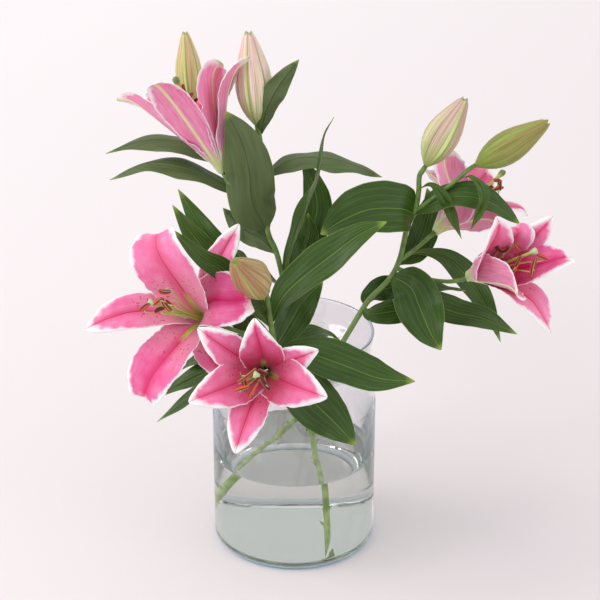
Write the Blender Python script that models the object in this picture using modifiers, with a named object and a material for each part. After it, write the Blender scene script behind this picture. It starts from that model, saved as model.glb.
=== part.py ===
"""Pink lilies standing in a clear glass vase of water.

Three leafy stems stand in plain holes in the water of a vase shaped like a milk churn. Together they
carry five open blooms and five buds. Blender metres, +Z up. The origin is the middle of the vase's
underside, and the front of the arrangement looks towards -Y.
"""
import math
from collections import namedtuple

import bmesh
import bpy
import numpy as np
from mathutils import Matrix, Vector

MM = 0.001
GAP = 0.3 * MM

# The vase, a turned shape with one wall thickness
VASE_HEIGHT = 250 * MM
VASE_RADIUS = 89 * MM
VASE_NECK_RADIUS = 67 * MM
VASE_RIM_RADIUS = 86.5 * MM
VASE_WALL = 3 * MM
VASE_FLOOR = 7 * MM
HEEL_RADIUS = 9 * MM
SHOULDER_HEIGHT = 166 * MM
NECK_HEIGHT = 205 * MM
COLLAR_HEIGHT = 227 * MM
RIM_FLARE = 4 * MM
COLLAR_FLARE = 8 * MM
NECK_FLARE = 9 * MM
VASE_SIDES = 32
WATER_LEVEL = 104 * MM

# The view that the stems, leaves and petals were set out in: how far the camera stands from the point
# it looks at, how high that point is, how steeply it looks down, and its focal length in columns.
VIEW_DISTANCE = 2131 * MM
VIEW_ACROSS = 6.6 * MM
VIEW_HEIGHT = 285 * MM
VIEW_PITCH = math.radians(25.4)
VIEW_FOCAL = 1996
VIEW_CENTRE = 300

# How finely the pieces are faceted: sides beyond four, by twos, and rows along a blade
FOUR_SIDED, SIX_SIDED, ROUND = 0, 1, 2
BROAD_ROWS, SLIM_ROWS = 7, 5
BROAD_BLADE = 40
STEM_PLACES = 16
PEDICEL_PLACES = 5
BUD_SIDES, BUD_RINGS = 12, 8

# Foliage sizes
LEAF_THICKNESS = 0.8 * MM
LEAF_CUP = 0.22
LEAF_WAVE = 1.6 * MM
EDGE_RIPPLES = 5.5
RIPPLE_OFFSET = 1.7
STEM_RADIUS = 3.7 * MM
STEM_TOP_RADIUS = 2.8 * MM
PEDICEL_RADIUS = 2.3 * MM
PEDICEL_STRAIGHT = 9 * MM

# Flower sizes
TEPAL_THICKNESS = 0.9 * MM
TEPAL_CUP = 0.3
THROAT_CUP = 0.5
THROAT_SHARE = 0.4
TEPAL_WAVE = 2.2 * MM
TEPAL_ROOT_DEPTH = 4 * MM
INNER_ROOT_RADIUS = 3.9 * MM
OUTER_ROOT_RADIUS = 5.4 * MM
INNER_THROAT_RADIUS = 6.5 * MM
OUTER_THROAT_RADIUS = 12 * MM
TUBE_LENGTH = 44 * MM
TEPAL_CREST_SHARE = 0.55
RECEPTACLE_RADIUS = 7.6 * MM
RECEPTACLE_LENGTH = 9 * MM
OVARY_RADIUS = 2.6 * MM
STYLE_RADIUS = 1.2 * MM
STIGMA_RADIUS = 2.8 * MM
FILAMENT_RADIUS = 0.9 * MM
FILAMENT_SHARE = 0.84
ANTHER_LENGTH = 15 * MM
ANTHER_RADIUS = 1.8 * MM
STAMENS = 6
BUD_RIB = 0.09

# Half widths along a blade or a bud, as a share of the widest, from its root to its tip
LEAF_OUTLINE = ((0, 0.12), (0.12, 0.5), (0.35, 0.94), (0.5, 1), (0.72, 0.8), (0.9, 0.36), (1, 0.03))
TEPAL_OUTLINE = ((0, 0.12), (0.18, 0.19), (0.38, 0.62), (0.6, 1), (0.78, 0.9), (0.92, 0.46), (1, 0.04))
BUD_OUTLINE = ((0, 0.2), (0.12, 0.5), (0.35, 0.88), (0.55, 1), (0.75, 0.84), (0.9, 0.5), (1, 0.16))

Leaf = namedtuple("Leaf", "spine width facing twist")
Bud = namedtuple("Bud", "foot tip width pedicel")
Tepal = namedtuple("Tepal", "tip width lift")
Bloom = namedtuple("Bloom", "foot stigma spread pedicel tepals")

TOWARDS_VIEW = (0.0, -0.9, 0.43)
UPWARDS = (0.0, -0.25, 1.0)

# In all the lists below a point is (column, row, depth): where it shows in a 600 by 600 view, and how
# many millimetres it lies behind the vase's axis, with minus for nearer. Widths and lifts are in mm.
# A stem's foot is the exception, in millimetres across, back and up, as water bends the view of it.
STEM_FEET = {
    1: ((36, -71, 8.5), (30, -47, 78), (24, -27, 104), (17, -8, 145)),
    2: ((25, 78.4, 62), (17, 42, 104), (-6, -30, 190), (-24, -76.5, 249)),
    3: ((-75, 13, 9.4), (-46, 19, 58), (-18.6, 25, 104), (8, 26, 136)),
}
STEM_TOPS = {
    1: ((281, 270, 48), (268, 232, 60), (262, 190, 68), (261, 150, 72), (258, 128, 75)),
    2: ((274, 345, -80), (271, 325, -81), (267, 297, -82)),
    3: ((341, 345, 24), (359, 315, 35), (369, 300, 44), (390, 278, 56), (400, 258, 60),
        (407, 228, 64), (415, 212, 66), (418.6, 192, 66), (419.5, 176, 66), (425, 167, 66)),
}
LEAVES = {
    1: {
        "big_front": Leaf(((266, 234, 60), (252, 202, 50), (249, 170, 44), (241, 140, 42),
                           (225.5, 111, 40)), 54, TOWARDS_VIEW, 0),
        "bud_bract": Leaf(((261, 134, 74), (267, 108, 66), (280, 84, 62), (299, 60.5, 62)),
                          28, (0.2, -0.95, 0.25), 0),
        "upper_left": Leaf(((263, 188, 68), (215, 152, 84), (166, 141, 96), (135, 143, 98),
                            (105.5, 153.7, 98)), 36, UPWARDS, 0),
        "lower_left": Leaf(((264, 206, 66), (228, 187, 70), (190, 168, 76), (150, 164, 80),
                            (109.6, 180, 82)), 34, UPWARDS, 0),
        "arching_right": Leaf(((262, 180, 70), (290, 162, 78), (318, 158, 84), (350, 165, 90),
                               (382, 177, 95)), 38, UPWARDS, 0),
        "slender": Leaf(((283, 276, 48), (291, 245, 42), (303, 212, 36), (316, 183, 34),
                         (321, 158, 36), (324, 136, 40), (334, 117, 46)), 24, (-0.75, -0.6, 0.2), -50),
        "behind": Leaf(((287, 288, 46), (308, 240, 62), (317, 208, 74), (312, 180, 80),
                        (301, 157.6, 84)), 36, TOWARDS_VIEW, 0),
        "short_tip": Leaf(((286, 286, 46), (300, 258, 48), (309, 236, 52), (308, 213, 56)),
                          26, TOWARDS_VIEW, 0),
        "side_on": Leaf(((275, 256, 54), (255, 236, 66), (238, 221, 80), (222, 208, 95)),
                        30, (-0.3, -0.6, 0.7), 0),
        "low_left": Leaf(((284, 288, 46), (262, 273, 28), (240, 258, 12), (212, 243, 0)),
                         26, UPWARDS, 0),
    },
    2: {
        "broad_right": Leaf(((271, 322, -81), (283, 297, -70), (305, 275, -58), (335, 252, -46),
                             (362, 233, -36), (386.7, 221.8, -28)), 40, (-0.35, -0.75, 0.55), 0),
        "hidden_right": Leaf(((275, 348, -79), (289, 325, -62), (303, 302, -50), (323, 281, -38)),
                             36, TOWARDS_VIEW, 0),
        "small_right": Leaf(((275, 350, -79), (303, 338, -56), (322, 333, -42), (341, 341, -30)),
                            26, UPWARDS, 0),
        "front_right": Leaf(((274, 352, -79), (308, 353, -92), (345, 366, -102), (380, 378, -108),
                             (415, 381.5, -110)), 46, (0, -0.6, 0.8), 0),
        "hanging_front": Leaf(((274, 352, -79), (290, 372, -100), (312, 400, -112), (336, 424, -120),
                               (355.7, 445, -122)), 52, (0.1, -0.9, 0.4), 0),
        "high_left": Leaf(((268, 312, -82), (236, 272, -50), (205, 232, -25), (178, 189, -5)),
                          28, TOWARDS_VIEW, 0),
        "mid_left": Leaf(((269, 318, -82), (228, 276, -54), (195, 238, -40), (172.5, 205, -30)),
                         28, TOWARDS_VIEW, 0),
        "low_left": Leaf(((270, 326, -81), (232, 291, -62), (200, 263, -56), (173, 230, -54)),
                         28, (0.2, -0.8, 0.6), 0),
        "short_left": Leaf(((271, 336, -80), (248, 325, -72), (234, 310, -64), (224, 293, -58)),
                           24, TOWARDS_VIEW, 0),
        "drooping_left": Leaf(((273, 336, -80), (245, 346, -76), (212, 368, -76), (178, 386, -80),
                               (147, 400, -85)), 28, UPWARDS, 0),
        "lowest_left": Leaf(((273, 340, -80), (245, 350, -74), (215, 376, -69), (186, 401, -67),
                             (157, 422, -67)), 24, UPWARDS, 0),
        "outer_left": Leaf(((273, 333, -80), (240, 342, -69), (200, 358, -62), (170, 375, -58)),
                           24, UPWARDS, 0),
    },
    3: {
        "broad_left": Leaf(((414, 214, 65), (396, 204, 52), (367, 206, 42), (342, 219, 34),
                            (320.6, 234.3, 30)), 52, (0, -0.8, 0.6), 0),
        "dark_behind": Leaf(((399, 264, 60), (416, 250, 84), (426, 226, 96), (430, 204, 102),
                             (427, 188, 104)), 32, TOWARDS_VIEW, 0),
        "bract_left": Leaf(((419, 190, 66), (433, 190, 52), (446, 205, 42), (455, 222, 38),
                            (462, 239, 36)), 15, (-0.5, -0.8, 0.3), 0),
        "arching_right": Leaf(((414, 214, 65), (438, 201, 54), (462, 196, 48), (490, 202, 46),
                               (520, 224, 46)), 36, (0, -0.5, 0.85), 0),
        "behind_bloom": Leaf(((402, 256, 61), (425, 253, 72), (452, 259, 84), (474, 284, 90),
                              (489, 311, 90), (500.6, 342, 86)), 32, (0.2, -0.9, 0.35), 0),
        "hanging_front": Leaf(((392, 276, 57), (411, 288, 30), (421, 311, 12), (430, 332, -2),
                               (441, 350, -10)), 52, TOWARDS_VIEW, 0),
        "low_right": Leaf(((390, 279, 56), (430, 302, 56), (455, 312, 58), (485, 319, 62),
                           (517, 334, 66)), 32, (0, -0.7, 0.7), 0),
        "strip": Leaf(((396, 268, 59), (432, 285, 68), (466, 291, 76)), 14, UPWARDS, 0),
        "crumpled_high": Leaf(((365, 306, 40), (370, 299, 12), (382, 290, 4), (398, 284, 10)),
                              24, (-0.3, -0.8, 0.5), 0),
        "crumpled_low": Leaf(((363, 309, 37), (367, 312, 4), (382, 312, -10), (399, 302, -6)),
                             26, TOWARDS_VIEW, 0),
    },
}
BUDS = {
    1: {
        "bud_1": Bud((191, 104, 142), (184.8, 31.5, 146), 28, ((262, 188, 68), (232, 165, 108),
                                                              (200, 132, 138))),
        "bud_2": Bud((257, 125, 77), (248, 31, 84), 38, ()),
    },
    2: {"bud_3": Bud((264, 292, -84), (234.5, 261, -132), 35, ())},
    3: {
        "bud_4": Bud((426, 165.5, 66), (466, 98, 70), 34, ()),
        "bud_5": Bud((476, 165, 60), (549, 121, 66), 34, ((415, 212, 66), (428, 202, 60),
                                                          (448, 187, 57))),
    },
}
BLOOMS = {
    1: {
        "bloom_1": Bloom((223.4, 173, 52), (175.4, 78.7, 60), 12, ((265, 215, 64), (250, 200, 58)), (
            Tepal((117, 102, 75), 38, 8), Tepal((151, 85.5, 22), 52, 14), Tepal((224, 63, 40), 40, 6),
            Tepal((249.5, 57, 46), 42, 4), Tepal((212, 112, 112), 36, 30),
            Tepal((172, 118, 104), 46, 30))),
    },
    2: {
        "bloom_2": Bloom((211, 322, -80), (150, 302, -150), 19, ((270, 333, -81), (245, 333, -78)), (
            Tepal((150, 233, -95), 58, 14), Tepal((85, 330, -112), 44, 12),
            Tepal((142, 402, -150), 56, 14), Tepal((226, 384, -112), 36, 18),
            Tepal((247, 294, -140), 52, 12), Tepal((239, 224, -78), 36, 14))),
        "bloom_3": Bloom((266, 371, -102), (256, 375, -190), 16, ((273, 348, -80),), (
            Tepal((254.4, 318.3, -165), 44, 8), Tepal((318.5, 355, -175), 34, 8),
            Tepal((326.8, 397, -182), 48, 8), Tepal((235, 453.5, -190), 40, 8),
            Tepal((188.6, 402, -178), 46, 8), Tepal((197.8, 328, -145), 36, 8))),
    },
    3: {
        "bloom_4": Bloom((434, 233, 80), (503.7, 172, 138), 14, ((401, 260, 61), (418, 247, 66)), (
            Tepal((441, 151, 88), 38, 6), Tepal((489, 167, 88), 44, 8), Tepal((528, 217, 112), 36, 8),
            Tepal((505, 230, 62), 50, 14), Tepal((470, 222, 168), 36, 30),
            Tepal((428, 172, 135), 46, 20))),
        "bloom_5": Bloom((467, 278, 38), (536, 250.5, -23), 16,
                         ((396, 268, 59), (424, 278, 52), (446, 281.5, 45)), (
            Tepal((497.5, 216.3, -5), 36, 4), Tepal((524, 223, 8), 44, 8), Tepal((555, 215, 28), 34, 4),
            Tepal((575, 260, 12), 48, 8), Tepal((550, 333, -22), 36, 6),
            Tepal((494, 288, -58), 48, 6))),
    },
}


def seen(point):
    """The place in metres of a point given by its column and row in the view and its depth."""
    column, row, depth = point
    behind = depth * MM
    rise = (VIEW_CENTRE - row) / VIEW_FOCAL
    sine, cosine = math.sin(VIEW_PITCH), math.cos(VIEW_PITCH)
    height = (rise * (VIEW_DISTANCE + behind * cosine) - behind * sine) / (cosine + rise * sine)
    distance = VIEW_DISTANCE + behind * cosine - height * sine
    across = (column - VIEW_CENTRE) / VIEW_FOCAL * distance
    return Vector((VIEW_ACROSS + across, behind, VIEW_HEIGHT + height))


def smooth_curve(points, count):
    """Evenly spaced places on a smooth curve through a few points."""
    known = np.array([tuple(point) for point in points], float)
    before, after = 2 * known[0] - known[1], 2 * known[-1] - known[-2]
    known = np.vstack([before, known, after])
    steps = np.linspace(0, 1, 13)[:, None]
    spans = []
    for a, b, c, d in zip(known, known[1:], known[2:], known[3:]):
        bend = (c - a) * steps + (2 * a - 5 * b + 4 * c - d) * steps ** 2
        spans.append(b + 0.5 * (bend + (3 * b - a - 3 * c + d) * steps ** 3))
    places = np.vstack([spans[0]] + [span[1:] for span in spans[1:]])
    run = np.concatenate([[0], np.cumsum(np.linalg.norm(np.diff(places, axis=0), axis=1))])
    wanted = np.linspace(0, run[-1], count)
    return [Vector([np.interp(length, run, places[:, axis]) for axis in range(known.shape[1])])
            for length in wanted]


def share_along(outline, at):
    """How wide a blade or bud is, as a share of its widest, at a place from 0, its root, to 1."""
    places, shares = zip(*outline)
    return float(np.interp(at, places, shares))


def material(name, colour, roughness, metallic=0.0, transmission=0.0):
    made = bpy.data.materials.new(name)
    made.use_nodes = True
    shader = made.node_tree.nodes["Principled BSDF"]
    shader.inputs["Base Color"].default_value = (*colour, 1.0)
    shader.inputs["Roughness"].default_value = roughness
    shader.inputs["Metallic"].default_value = metallic
    shader.inputs["Transmission Weight"].default_value = transmission
    return made


def add_object(name, mesh, collection, finish):
    piece = bpy.data.objects.new(name, mesh)
    collection.objects.link(piece)
    if not mesh.materials:
        mesh.materials.append(finish)
    return piece


def settle(piece):
    """Replace a piece's curve or modifiers by the mesh that they give."""
    bpy.context.view_layer.update()
    graph = bpy.context.evaluated_depsgraph_get()
    mesh = bpy.data.meshes.new_from_object(piece.evaluated_get(graph))
    name, finish, collection = piece.name, piece.active_material, piece.users_collection[0]
    bpy.data.objects.remove(piece)
    return add_object(name, mesh, collection, finish)


def tube(name, places, radii, roundness, collection, finish):
    """A rod along a list of places, with a radius at each. Its roundness adds sides to four, by twos."""
    curve = bpy.data.curves.new(name, "CURVE")
    curve.dimensions = "3D"
    curve.bevel_depth = 1.0
    curve.bevel_resolution = roundness
    curve.use_fill_caps = True
    line = curve.splines.new("POLY")
    line.points.add(len(places) - 1)
    for point, place, radius in zip(line.points, places, radii):
        point.co = (*place, 1.0)
        point.radius = radius
    curve.materials.append(finish)
    piece = bpy.data.objects.new(name, curve)
    collection.objects.link(piece)
    rod = settle(piece)
    shell = bmesh.new()
    shell.from_mesh(rod.data)
    bmesh.ops.remove_doubles(shell, verts=shell.verts, dist=0.01 * MM)
    shell.to_mesh(rod.data)
    shell.free()
    return rod


def blade(name, spine, width, crosswise, outline, cup, wave, thickness, collection, finish):
    """A thin closed leaf or petal along a spine.

    crosswise(run, at) gives its sideways way, and cup(at) how far its edges rise, as a share of its
    half width.
    """
    rows, columns = (BROAD_ROWS, 4) if width > BROAD_BLADE * MM else (SLIM_ROWS, 2)
    fine = smooth_curve(spine, 4 * rows + 1)
    shell = bmesh.new()
    bmesh.ops.create_grid(shell, x_segments=rows, y_segments=columns, size=1.0)
    for vert in shell.verts:
        at, side = (vert.co.x + 1) / 2, vert.co.y
        step = round(at * 4 * rows)
        run = (fine[min(step + 1, 4 * rows)] - fine[max(step - 1, 0)]).normalized()
        sideways = crosswise(run, at)
        sideways = (sideways - run * sideways.dot(run)).normalized()
        face = sideways.cross(run)
        half = width / 2 * share_along(outline, at)
        ripple = wave * math.sin(math.pi * at) * abs(side) * math.sin(
            EDGE_RIPPLES * math.pi * at + RIPPLE_OFFSET * side)
        vert.co = fine[step] + sideways * side * half + face * (cup(at) * half * side * side + ripple)
    bmesh.ops.triangulate(shell, faces=shell.faces)
    mesh = bpy.data.meshes.new(name)
    shell.to_mesh(mesh)
    shell.free()
    piece = add_object(name, mesh, collection, finish)
    solidify = piece.modifiers.new("thickness", "SOLIDIFY")
    solidify.thickness = thickness
    solidify.offset = 0.0
    return settle(piece)


def keep_largest_shell(mesh):
    """Fill the hollows that crossing blades seal, and drop loose scraps."""
    whole = bmesh.new()
    whole.from_mesh(mesh)
    unseen = set(whole.faces)
    shells = []
    while unseen:
        shell, fringe = set(), [unseen.pop()]
        while fringe:
            face = fringe.pop()
            shell.add(face)
            for edge in face.edges:
                fringe += [other for other in edge.link_faces if other in unseen]
                unseen.difference_update(edge.link_faces)
        shells.append(shell)
    largest = max(shells, key=len)
    bmesh.ops.delete(whole, geom=[face for face in whole.faces if face not in largest], context="FACES")
    whole.to_mesh(mesh)
    whole.free()


def join_all(base, pieces):
    """One solid of a piece and all that grows from it."""
    growth = bpy.data.collections.new("growth")
    bpy.context.scene.collection.children.link(growth)
    for piece in pieces:
        for home in list(piece.users_collection):
            home.objects.unlink(piece)
        growth.objects.link(piece)
    union = base.modifiers.new("growth", "BOOLEAN")
    union.operation = "UNION"
    union.operand_type = "COLLECTION"
    union.collection = growth
    union.solver = "MANIFOLD"
    whole = settle(base)
    keep_largest_shell(whole.data)
    for piece in pieces:
        bpy.data.objects.remove(piece)
    bpy.data.collections.remove(growth)
    return whole


def turned(name, profile, collection, finish):
    """A solid turned round the Z axis from an outline of (radius, height) that ends on the axis."""
    mesh = bpy.data.meshes.new(name)
    mesh.from_pydata([(radius, 0, height) for radius, height in profile],
                     [(index, index + 1) for index in range(len(profile) - 1)], [])
    piece = add_object(name, mesh, collection, finish)
    screw = piece.modifiers.new("turning", "SCREW")
    screw.steps = screw.render_steps = VASE_SIDES
    screw.use_merge_vertices = True
    screw.merge_threshold = 0.01 * MM
    return piece


def corner(centre_radius, centre_height, radius, count):
    """A quarter round from straight out to straight down, for the foot of a turned outline."""
    turns = [math.pi / 2 * step / (count - 1) for step in range(count)]
    return [(centre_radius + radius * math.cos(turn), centre_height - radius * math.sin(turn))
            for turn in turns]


def make_vase(collection, finish):
    neck_to_shoulder = SHOULDER_HEIGHT - NECK_HEIGHT
    waist = (
        (VASE_RIM_RADIUS, VASE_HEIGHT - VASE_WALL / 2),
        (VASE_RIM_RADIUS - RIM_FLARE, COLLAR_HEIGHT),
        (VASE_NECK_RADIUS + COLLAR_FLARE, (COLLAR_HEIGHT + NECK_HEIGHT) / 2 + 1 * MM),
        (VASE_NECK_RADIUS, NECK_HEIGHT),
        (VASE_NECK_RADIUS + NECK_FLARE, NECK_HEIGHT + neck_to_shoulder * 0.45),
        (VASE_RADIUS, SHOULDER_HEIGHT),
    )
    outside = [tuple(place) for place in smooth_curve([Vector((*point, 0)) for point in waist], 9)]
    inside = []
    for index, (radius, height, _) in enumerate(outside):
        ahead = outside[min(index + 1, len(outside) - 1)]
        behind = outside[max(index - 1, 0)]
        run = Vector((ahead[0] - behind[0], ahead[1] - behind[1])).normalized()
        inside.append((radius + run.y * VASE_WALL, height - run.x * VASE_WALL))
    outer = [(radius, height) for radius, height, _ in outside]
    outer += corner(VASE_RADIUS - HEEL_RADIUS, HEEL_RADIUS, HEEL_RADIUS, 4) + [(0, 0)]
    inner = inside + water_side()
    rim = (VASE_RIM_RADIUS - VASE_WALL / 2, VASE_HEIGHT)
    profile = [(0, VASE_FLOOR)] + inner[::-1] + [rim] + outer
    return turned("vase", profile, collection, finish)


def water_side(gap=0.0):
    """The inside of the vase's foot, from its wall to the edge of its flat floor."""
    bend = HEEL_RADIUS - VASE_WALL
    centre = VASE_RADIUS - HEEL_RADIUS
    return corner(centre, VASE_FLOOR + bend, bend - gap, 4)


def make_water(stem_lines, collection, cutters, finish):
    foot = water_side(GAP)
    profile = [(0, WATER_LEVEL), (foot[0][0], WATER_LEVEL)] + foot + [(0, VASE_FLOOR + GAP)]
    water = turned("water", profile, collection, finish)
    for number, line in stem_lines.items():
        wet = line[:1 + next(step for step, place in enumerate(line) if place.z > WATER_LEVEL)]
        below = wet[0] + (wet[0] - wet[1]).normalized() * 1.2 * STEM_RADIUS
        hole = tube(f"hole_{number}", [below] + wet, [STEM_RADIUS + 2 * GAP] * (len(wet) + 1),
                    ROUND, cutters, finish)
        hole.hide_render = True
        hole.display_type = "WIRE"
        cut = water.modifiers.new(f"hole_{number}", "BOOLEAN")
        cut.operation = "DIFFERENCE"
        cut.object = hole
    return water


def stem_line(number):
    """The places along a stem, from its foot in the water to its highest pedicel."""
    foot = [Vector(place) * MM for place in STEM_FEET[number]]
    top = [seen(point) for point in STEM_TOPS[number]]
    return smooth_curve(foot + top, STEM_PLACES)


def make_pedicel(name, points, end, axis, collection, finish):
    """A flower's own short stalk, which reaches its foot straight along its axis."""
    straight = end - axis * PEDICEL_STRAIGHT
    line = smooth_curve([seen(point) for point in points] + [straight], PEDICEL_PLACES)
    line.append(end - axis * GAP)
    return tube(name, line, [PEDICEL_RADIUS] * len(line), SIX_SIDED, collection, finish)


def make_leaf(name, leaf, collection, finish):
    facing = Vector(leaf.facing).normalized()

    def crosswise(run, at):
        turn = Matrix.Rotation(math.radians(leaf.twist) * at, 3, run)
        return turn @ run.cross(facing)

    return blade(name, [seen(point) for point in leaf.spine], leaf.width * MM, crosswise, LEAF_OUTLINE,
                 lambda at: LEAF_CUP, LEAF_WAVE, LEAF_THICKNESS, collection, finish)


def make_stem(number, line, collection, finish):
    radii = [STEM_RADIUS + (STEM_TOP_RADIUS - STEM_RADIUS) * step / (len(line) - 1)
             for step in range(len(line))]
    growth = [make_leaf(name, leaf, collection, finish) for name, leaf in LEAVES[number].items()]
    for name, bud in BUDS[number].items():
        foot, tip = seen(bud.foot), seen(bud.tip)
        points = bud.pedicel or STEM_TOPS[number][-1:]
        growth.append(make_pedicel(f"pedicel_{name}", points, foot, (tip - foot).normalized(),
                                   collection, finish))
    for name, bloom in BLOOMS[number].items():
        foot, stigma = seen(bloom.foot), seen(bloom.stigma)
        growth.append(make_pedicel(f"pedicel_{name}", bloom.pedicel, foot,
                                   (stigma - foot).normalized(), collection, finish))
    stem = tube(f"leafy_stem_{number}", line, radii, ROUND, collection, finish)
    return join_all(stem, growth)


def make_bud(name, bud, collection, finish):
    """A closed flower: six tepals folded into a long body with three strong ribs and three weak."""
    foot, tip = seen(bud.foot), seen(bud.tip)
    turn = (tip - foot).to_track_quat("Z", "Y").to_matrix()
    length = (tip - foot).length
    shell = bmesh.new()
    bmesh.ops.create_uvsphere(shell, u_segments=BUD_SIDES, v_segments=BUD_RINGS, radius=1.0)
    for vert in shell.verts:
        at = 0.5 - math.asin(max(-1.0, min(1.0, -vert.co.z))) / math.pi
        around = math.atan2(vert.co.y, vert.co.x)
        half = bud.width / 2 * MM * share_along(BUD_OUTLINE, at)
        half *= 1 + BUD_RIB * math.cos(3 * around) * math.sin(math.pi * at)
        if abs(vert.co.z) > 0.999:
            half = 0.0
        vert.co = foot + turn @ Vector((half * math.cos(around), half * math.sin(around), at * length))
    mesh = bpy.data.meshes.new(name)
    shell.to_mesh(mesh)
    shell.free()
    return add_object(name, mesh, collection, finish)


def make_tepal(name, tepal, foot, axis, collection, finish):
    """One petal: up the throat beside the axis, then outwards to its tip in a rolled-back curve."""
    tip = seen(tepal.tip)
    height = (tip - foot).dot(axis)
    outward = tip - foot - axis * height
    reach = outward.length
    outward.normalize()
    lift = tepal.lift * MM
    inner = tepal.width > BROAD_BLADE
    root = INNER_ROOT_RADIUS if inner else OUTER_ROOT_RADIUS
    throat = INNER_THROAT_RADIUS if inner else OUTER_THROAT_RADIUS
    spine = []
    ends = ((root, TEPAL_ROOT_DEPTH), (throat, TUBE_LENGTH),
            (reach * TEPAL_CREST_SHARE, height + lift), (reach, height))
    for step in range(9):
        at = step / 8
        weights = ((1 - at) ** 3, 3 * at * (1 - at) ** 2, 3 * at * at * (1 - at), at ** 3)
        away = sum(weight * end[0] for weight, end in zip(weights, ends))
        along = sum(weight * end[1] for weight, end in zip(weights, ends))
        spine.append(foot + outward * away + axis * along)
    across = axis.cross(outward)

    def cup(at):
        return TEPAL_CUP + THROAT_CUP * max(0.0, 1 - at / THROAT_SHARE)

    return blade(name, spine, tepal.width * MM, lambda run, at: -across, TEPAL_OUTLINE, cup,
                 TEPAL_WAVE, TEPAL_THICKNESS, collection, finish)


def make_bloom(name, bloom, collection, finish):
    foot, stigma = seen(bloom.foot), seen(bloom.stigma)
    axis = (stigma - foot).normalized()
    receptacle = tube(name, [foot, foot + axis * RECEPTACLE_LENGTH],
                      [PEDICEL_RADIUS * 1.3, RECEPTACLE_RADIUS], ROUND, collection, finish)
    tepals = [make_tepal(f"{name}_tepal_{number}", tepal, foot, axis, collection, finish)
              for number, tepal in enumerate(bloom.tepals)]
    return join_all(receptacle, tepals)


def make_stamens(name, bloom, collection, finish):
    """The pistil with six filaments round its foot, each with an anther across its tip."""
    foot, stigma = seen(bloom.foot), seen(bloom.stigma)
    axis = (stigma - foot).normalized()
    length = (stigma - foot).length
    spread = bloom.spread * MM
    start = foot + axis * (RECEPTACLE_LENGTH + GAP)
    places = [start, start + axis * 0.2 * length, foot + axis * (length - 4 * MM), stigma]
    pistil = tube(name, places, [OVARY_RADIUS, OVARY_RADIUS * 0.7, STYLE_RADIUS, STIGMA_RADIUS],
                  SIX_SIDED, collection, finish)
    side = axis.orthogonal().normalized()
    growth = []
    for number in range(STAMENS):
        away = Matrix.Rotation(math.tau * number / STAMENS, 3, axis) @ side
        reach = FILAMENT_SHARE * length
        end = foot + axis * reach + away * spread
        line = [start + axis * 1 * MM, foot + axis * 0.5 * reach + away * 0.34 * spread, end]
        growth.append(tube(f"{name}_filament_{number}", smooth_curve(line, 4), [FILAMENT_RADIUS] * 4,
                           FOUR_SIDED, collection, finish))
        along = axis.cross(away) * ANTHER_LENGTH / 2
        bow = [end - along, end - along * 0.6, end + along * 0.6, end + along]
        growth.append(tube(f"{name}_anther_{number}", bow,
                           [ANTHER_RADIUS * 0.5, ANTHER_RADIUS, ANTHER_RADIUS, ANTHER_RADIUS * 0.5],
                           FOUR_SIDED, collection, finish))
    return join_all(pistil, growth)


def main():
    for old in list(bpy.data.objects):
        bpy.data.objects.remove(old)
    parts = bpy.data.collections.new("cut_lilies_in_vase")
    cutters = bpy.data.collections.new("cutters")
    for collection in (parts, cutters):
        bpy.context.scene.collection.children.link(collection)

    glass = material("clear_glass", (0.86, 0.88, 0.92), 0.02, transmission=1.0)
    water = material("vase_water", (0.80, 0.84, 0.80), 0.02, transmission=1.0)
    leaf_green = material("leaf_green", (0.045, 0.12, 0.025), 0.5)
    petal_pink = material("petal_pink", (0.78, 0.13, 0.30), 0.55)
    anther_rust = material("anther_rust", (0.42, 0.10, 0.02), 0.8)
    bud_green = material("bud_green", (0.62, 0.60, 0.30), 0.5)

    make_vase(parts, glass)
    lines = {number: stem_line(number) for number in STEM_FEET}
    make_water(lines, parts, cutters, water)
    for number, line in lines.items():
        make_stem(number, line, parts, leaf_green)
        for name, bud in BUDS[number].items():
            make_bud(name, bud, parts, bud_green)
        for name, bloom in BLOOMS[number].items():
            make_bloom(name, bloom, parts, petal_pink)
            make_stamens(name.replace("bloom", "stamens"), bloom, parts, anther_rust)


main()
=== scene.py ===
"""The looks of a vase of cut pink lilies: three leafy stems with open blooms and buds in clear water."""
import math
from collections import namedtuple

import bpy
import numpy as np
from mathutils import Matrix, Vector, noise


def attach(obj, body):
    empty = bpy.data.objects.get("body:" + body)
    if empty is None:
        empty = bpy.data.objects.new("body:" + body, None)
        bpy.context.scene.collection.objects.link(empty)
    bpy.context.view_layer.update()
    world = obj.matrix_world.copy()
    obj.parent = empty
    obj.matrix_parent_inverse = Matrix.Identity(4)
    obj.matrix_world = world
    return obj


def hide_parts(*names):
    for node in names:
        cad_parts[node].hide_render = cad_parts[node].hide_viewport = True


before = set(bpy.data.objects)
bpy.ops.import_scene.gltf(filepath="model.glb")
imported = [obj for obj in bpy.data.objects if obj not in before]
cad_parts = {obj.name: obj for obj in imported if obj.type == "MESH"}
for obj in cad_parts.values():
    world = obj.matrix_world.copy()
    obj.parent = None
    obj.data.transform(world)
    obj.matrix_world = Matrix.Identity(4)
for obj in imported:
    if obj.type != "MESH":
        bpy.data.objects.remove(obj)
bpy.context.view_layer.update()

# The vase
# A flower vase in the shape of a milk churn, of clear soda-lime glass with a faint blue body tint. It was
# blown in a turning mould, so it is round and smooth, with a fire-polished lip and a thick heel.
MM = 0.001
VASE_HEIGHT = 250 * MM
VASE_RADIUS = 89 * MM
VASE_NECK_RADIUS = 67 * MM
VASE_RIM_RADIUS = 86.5 * MM
VASE_WALL = 3 * MM
VASE_FLOOR = 7 * MM
HEEL_RADIUS = 9 * MM
PUNT = 1.5 * MM
SHOULDER_HEIGHT = 166 * MM
NECK_HEIGHT = 205 * MM
COLLAR_HEIGHT = 227 * MM
RIM_FLARE = 4 * MM
COLLAR_FLARE = 8 * MM
NECK_FLARE = 9 * MM
VASE_SIDES = 144
MOULD_RIPPLE = 26 * MM
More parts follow.
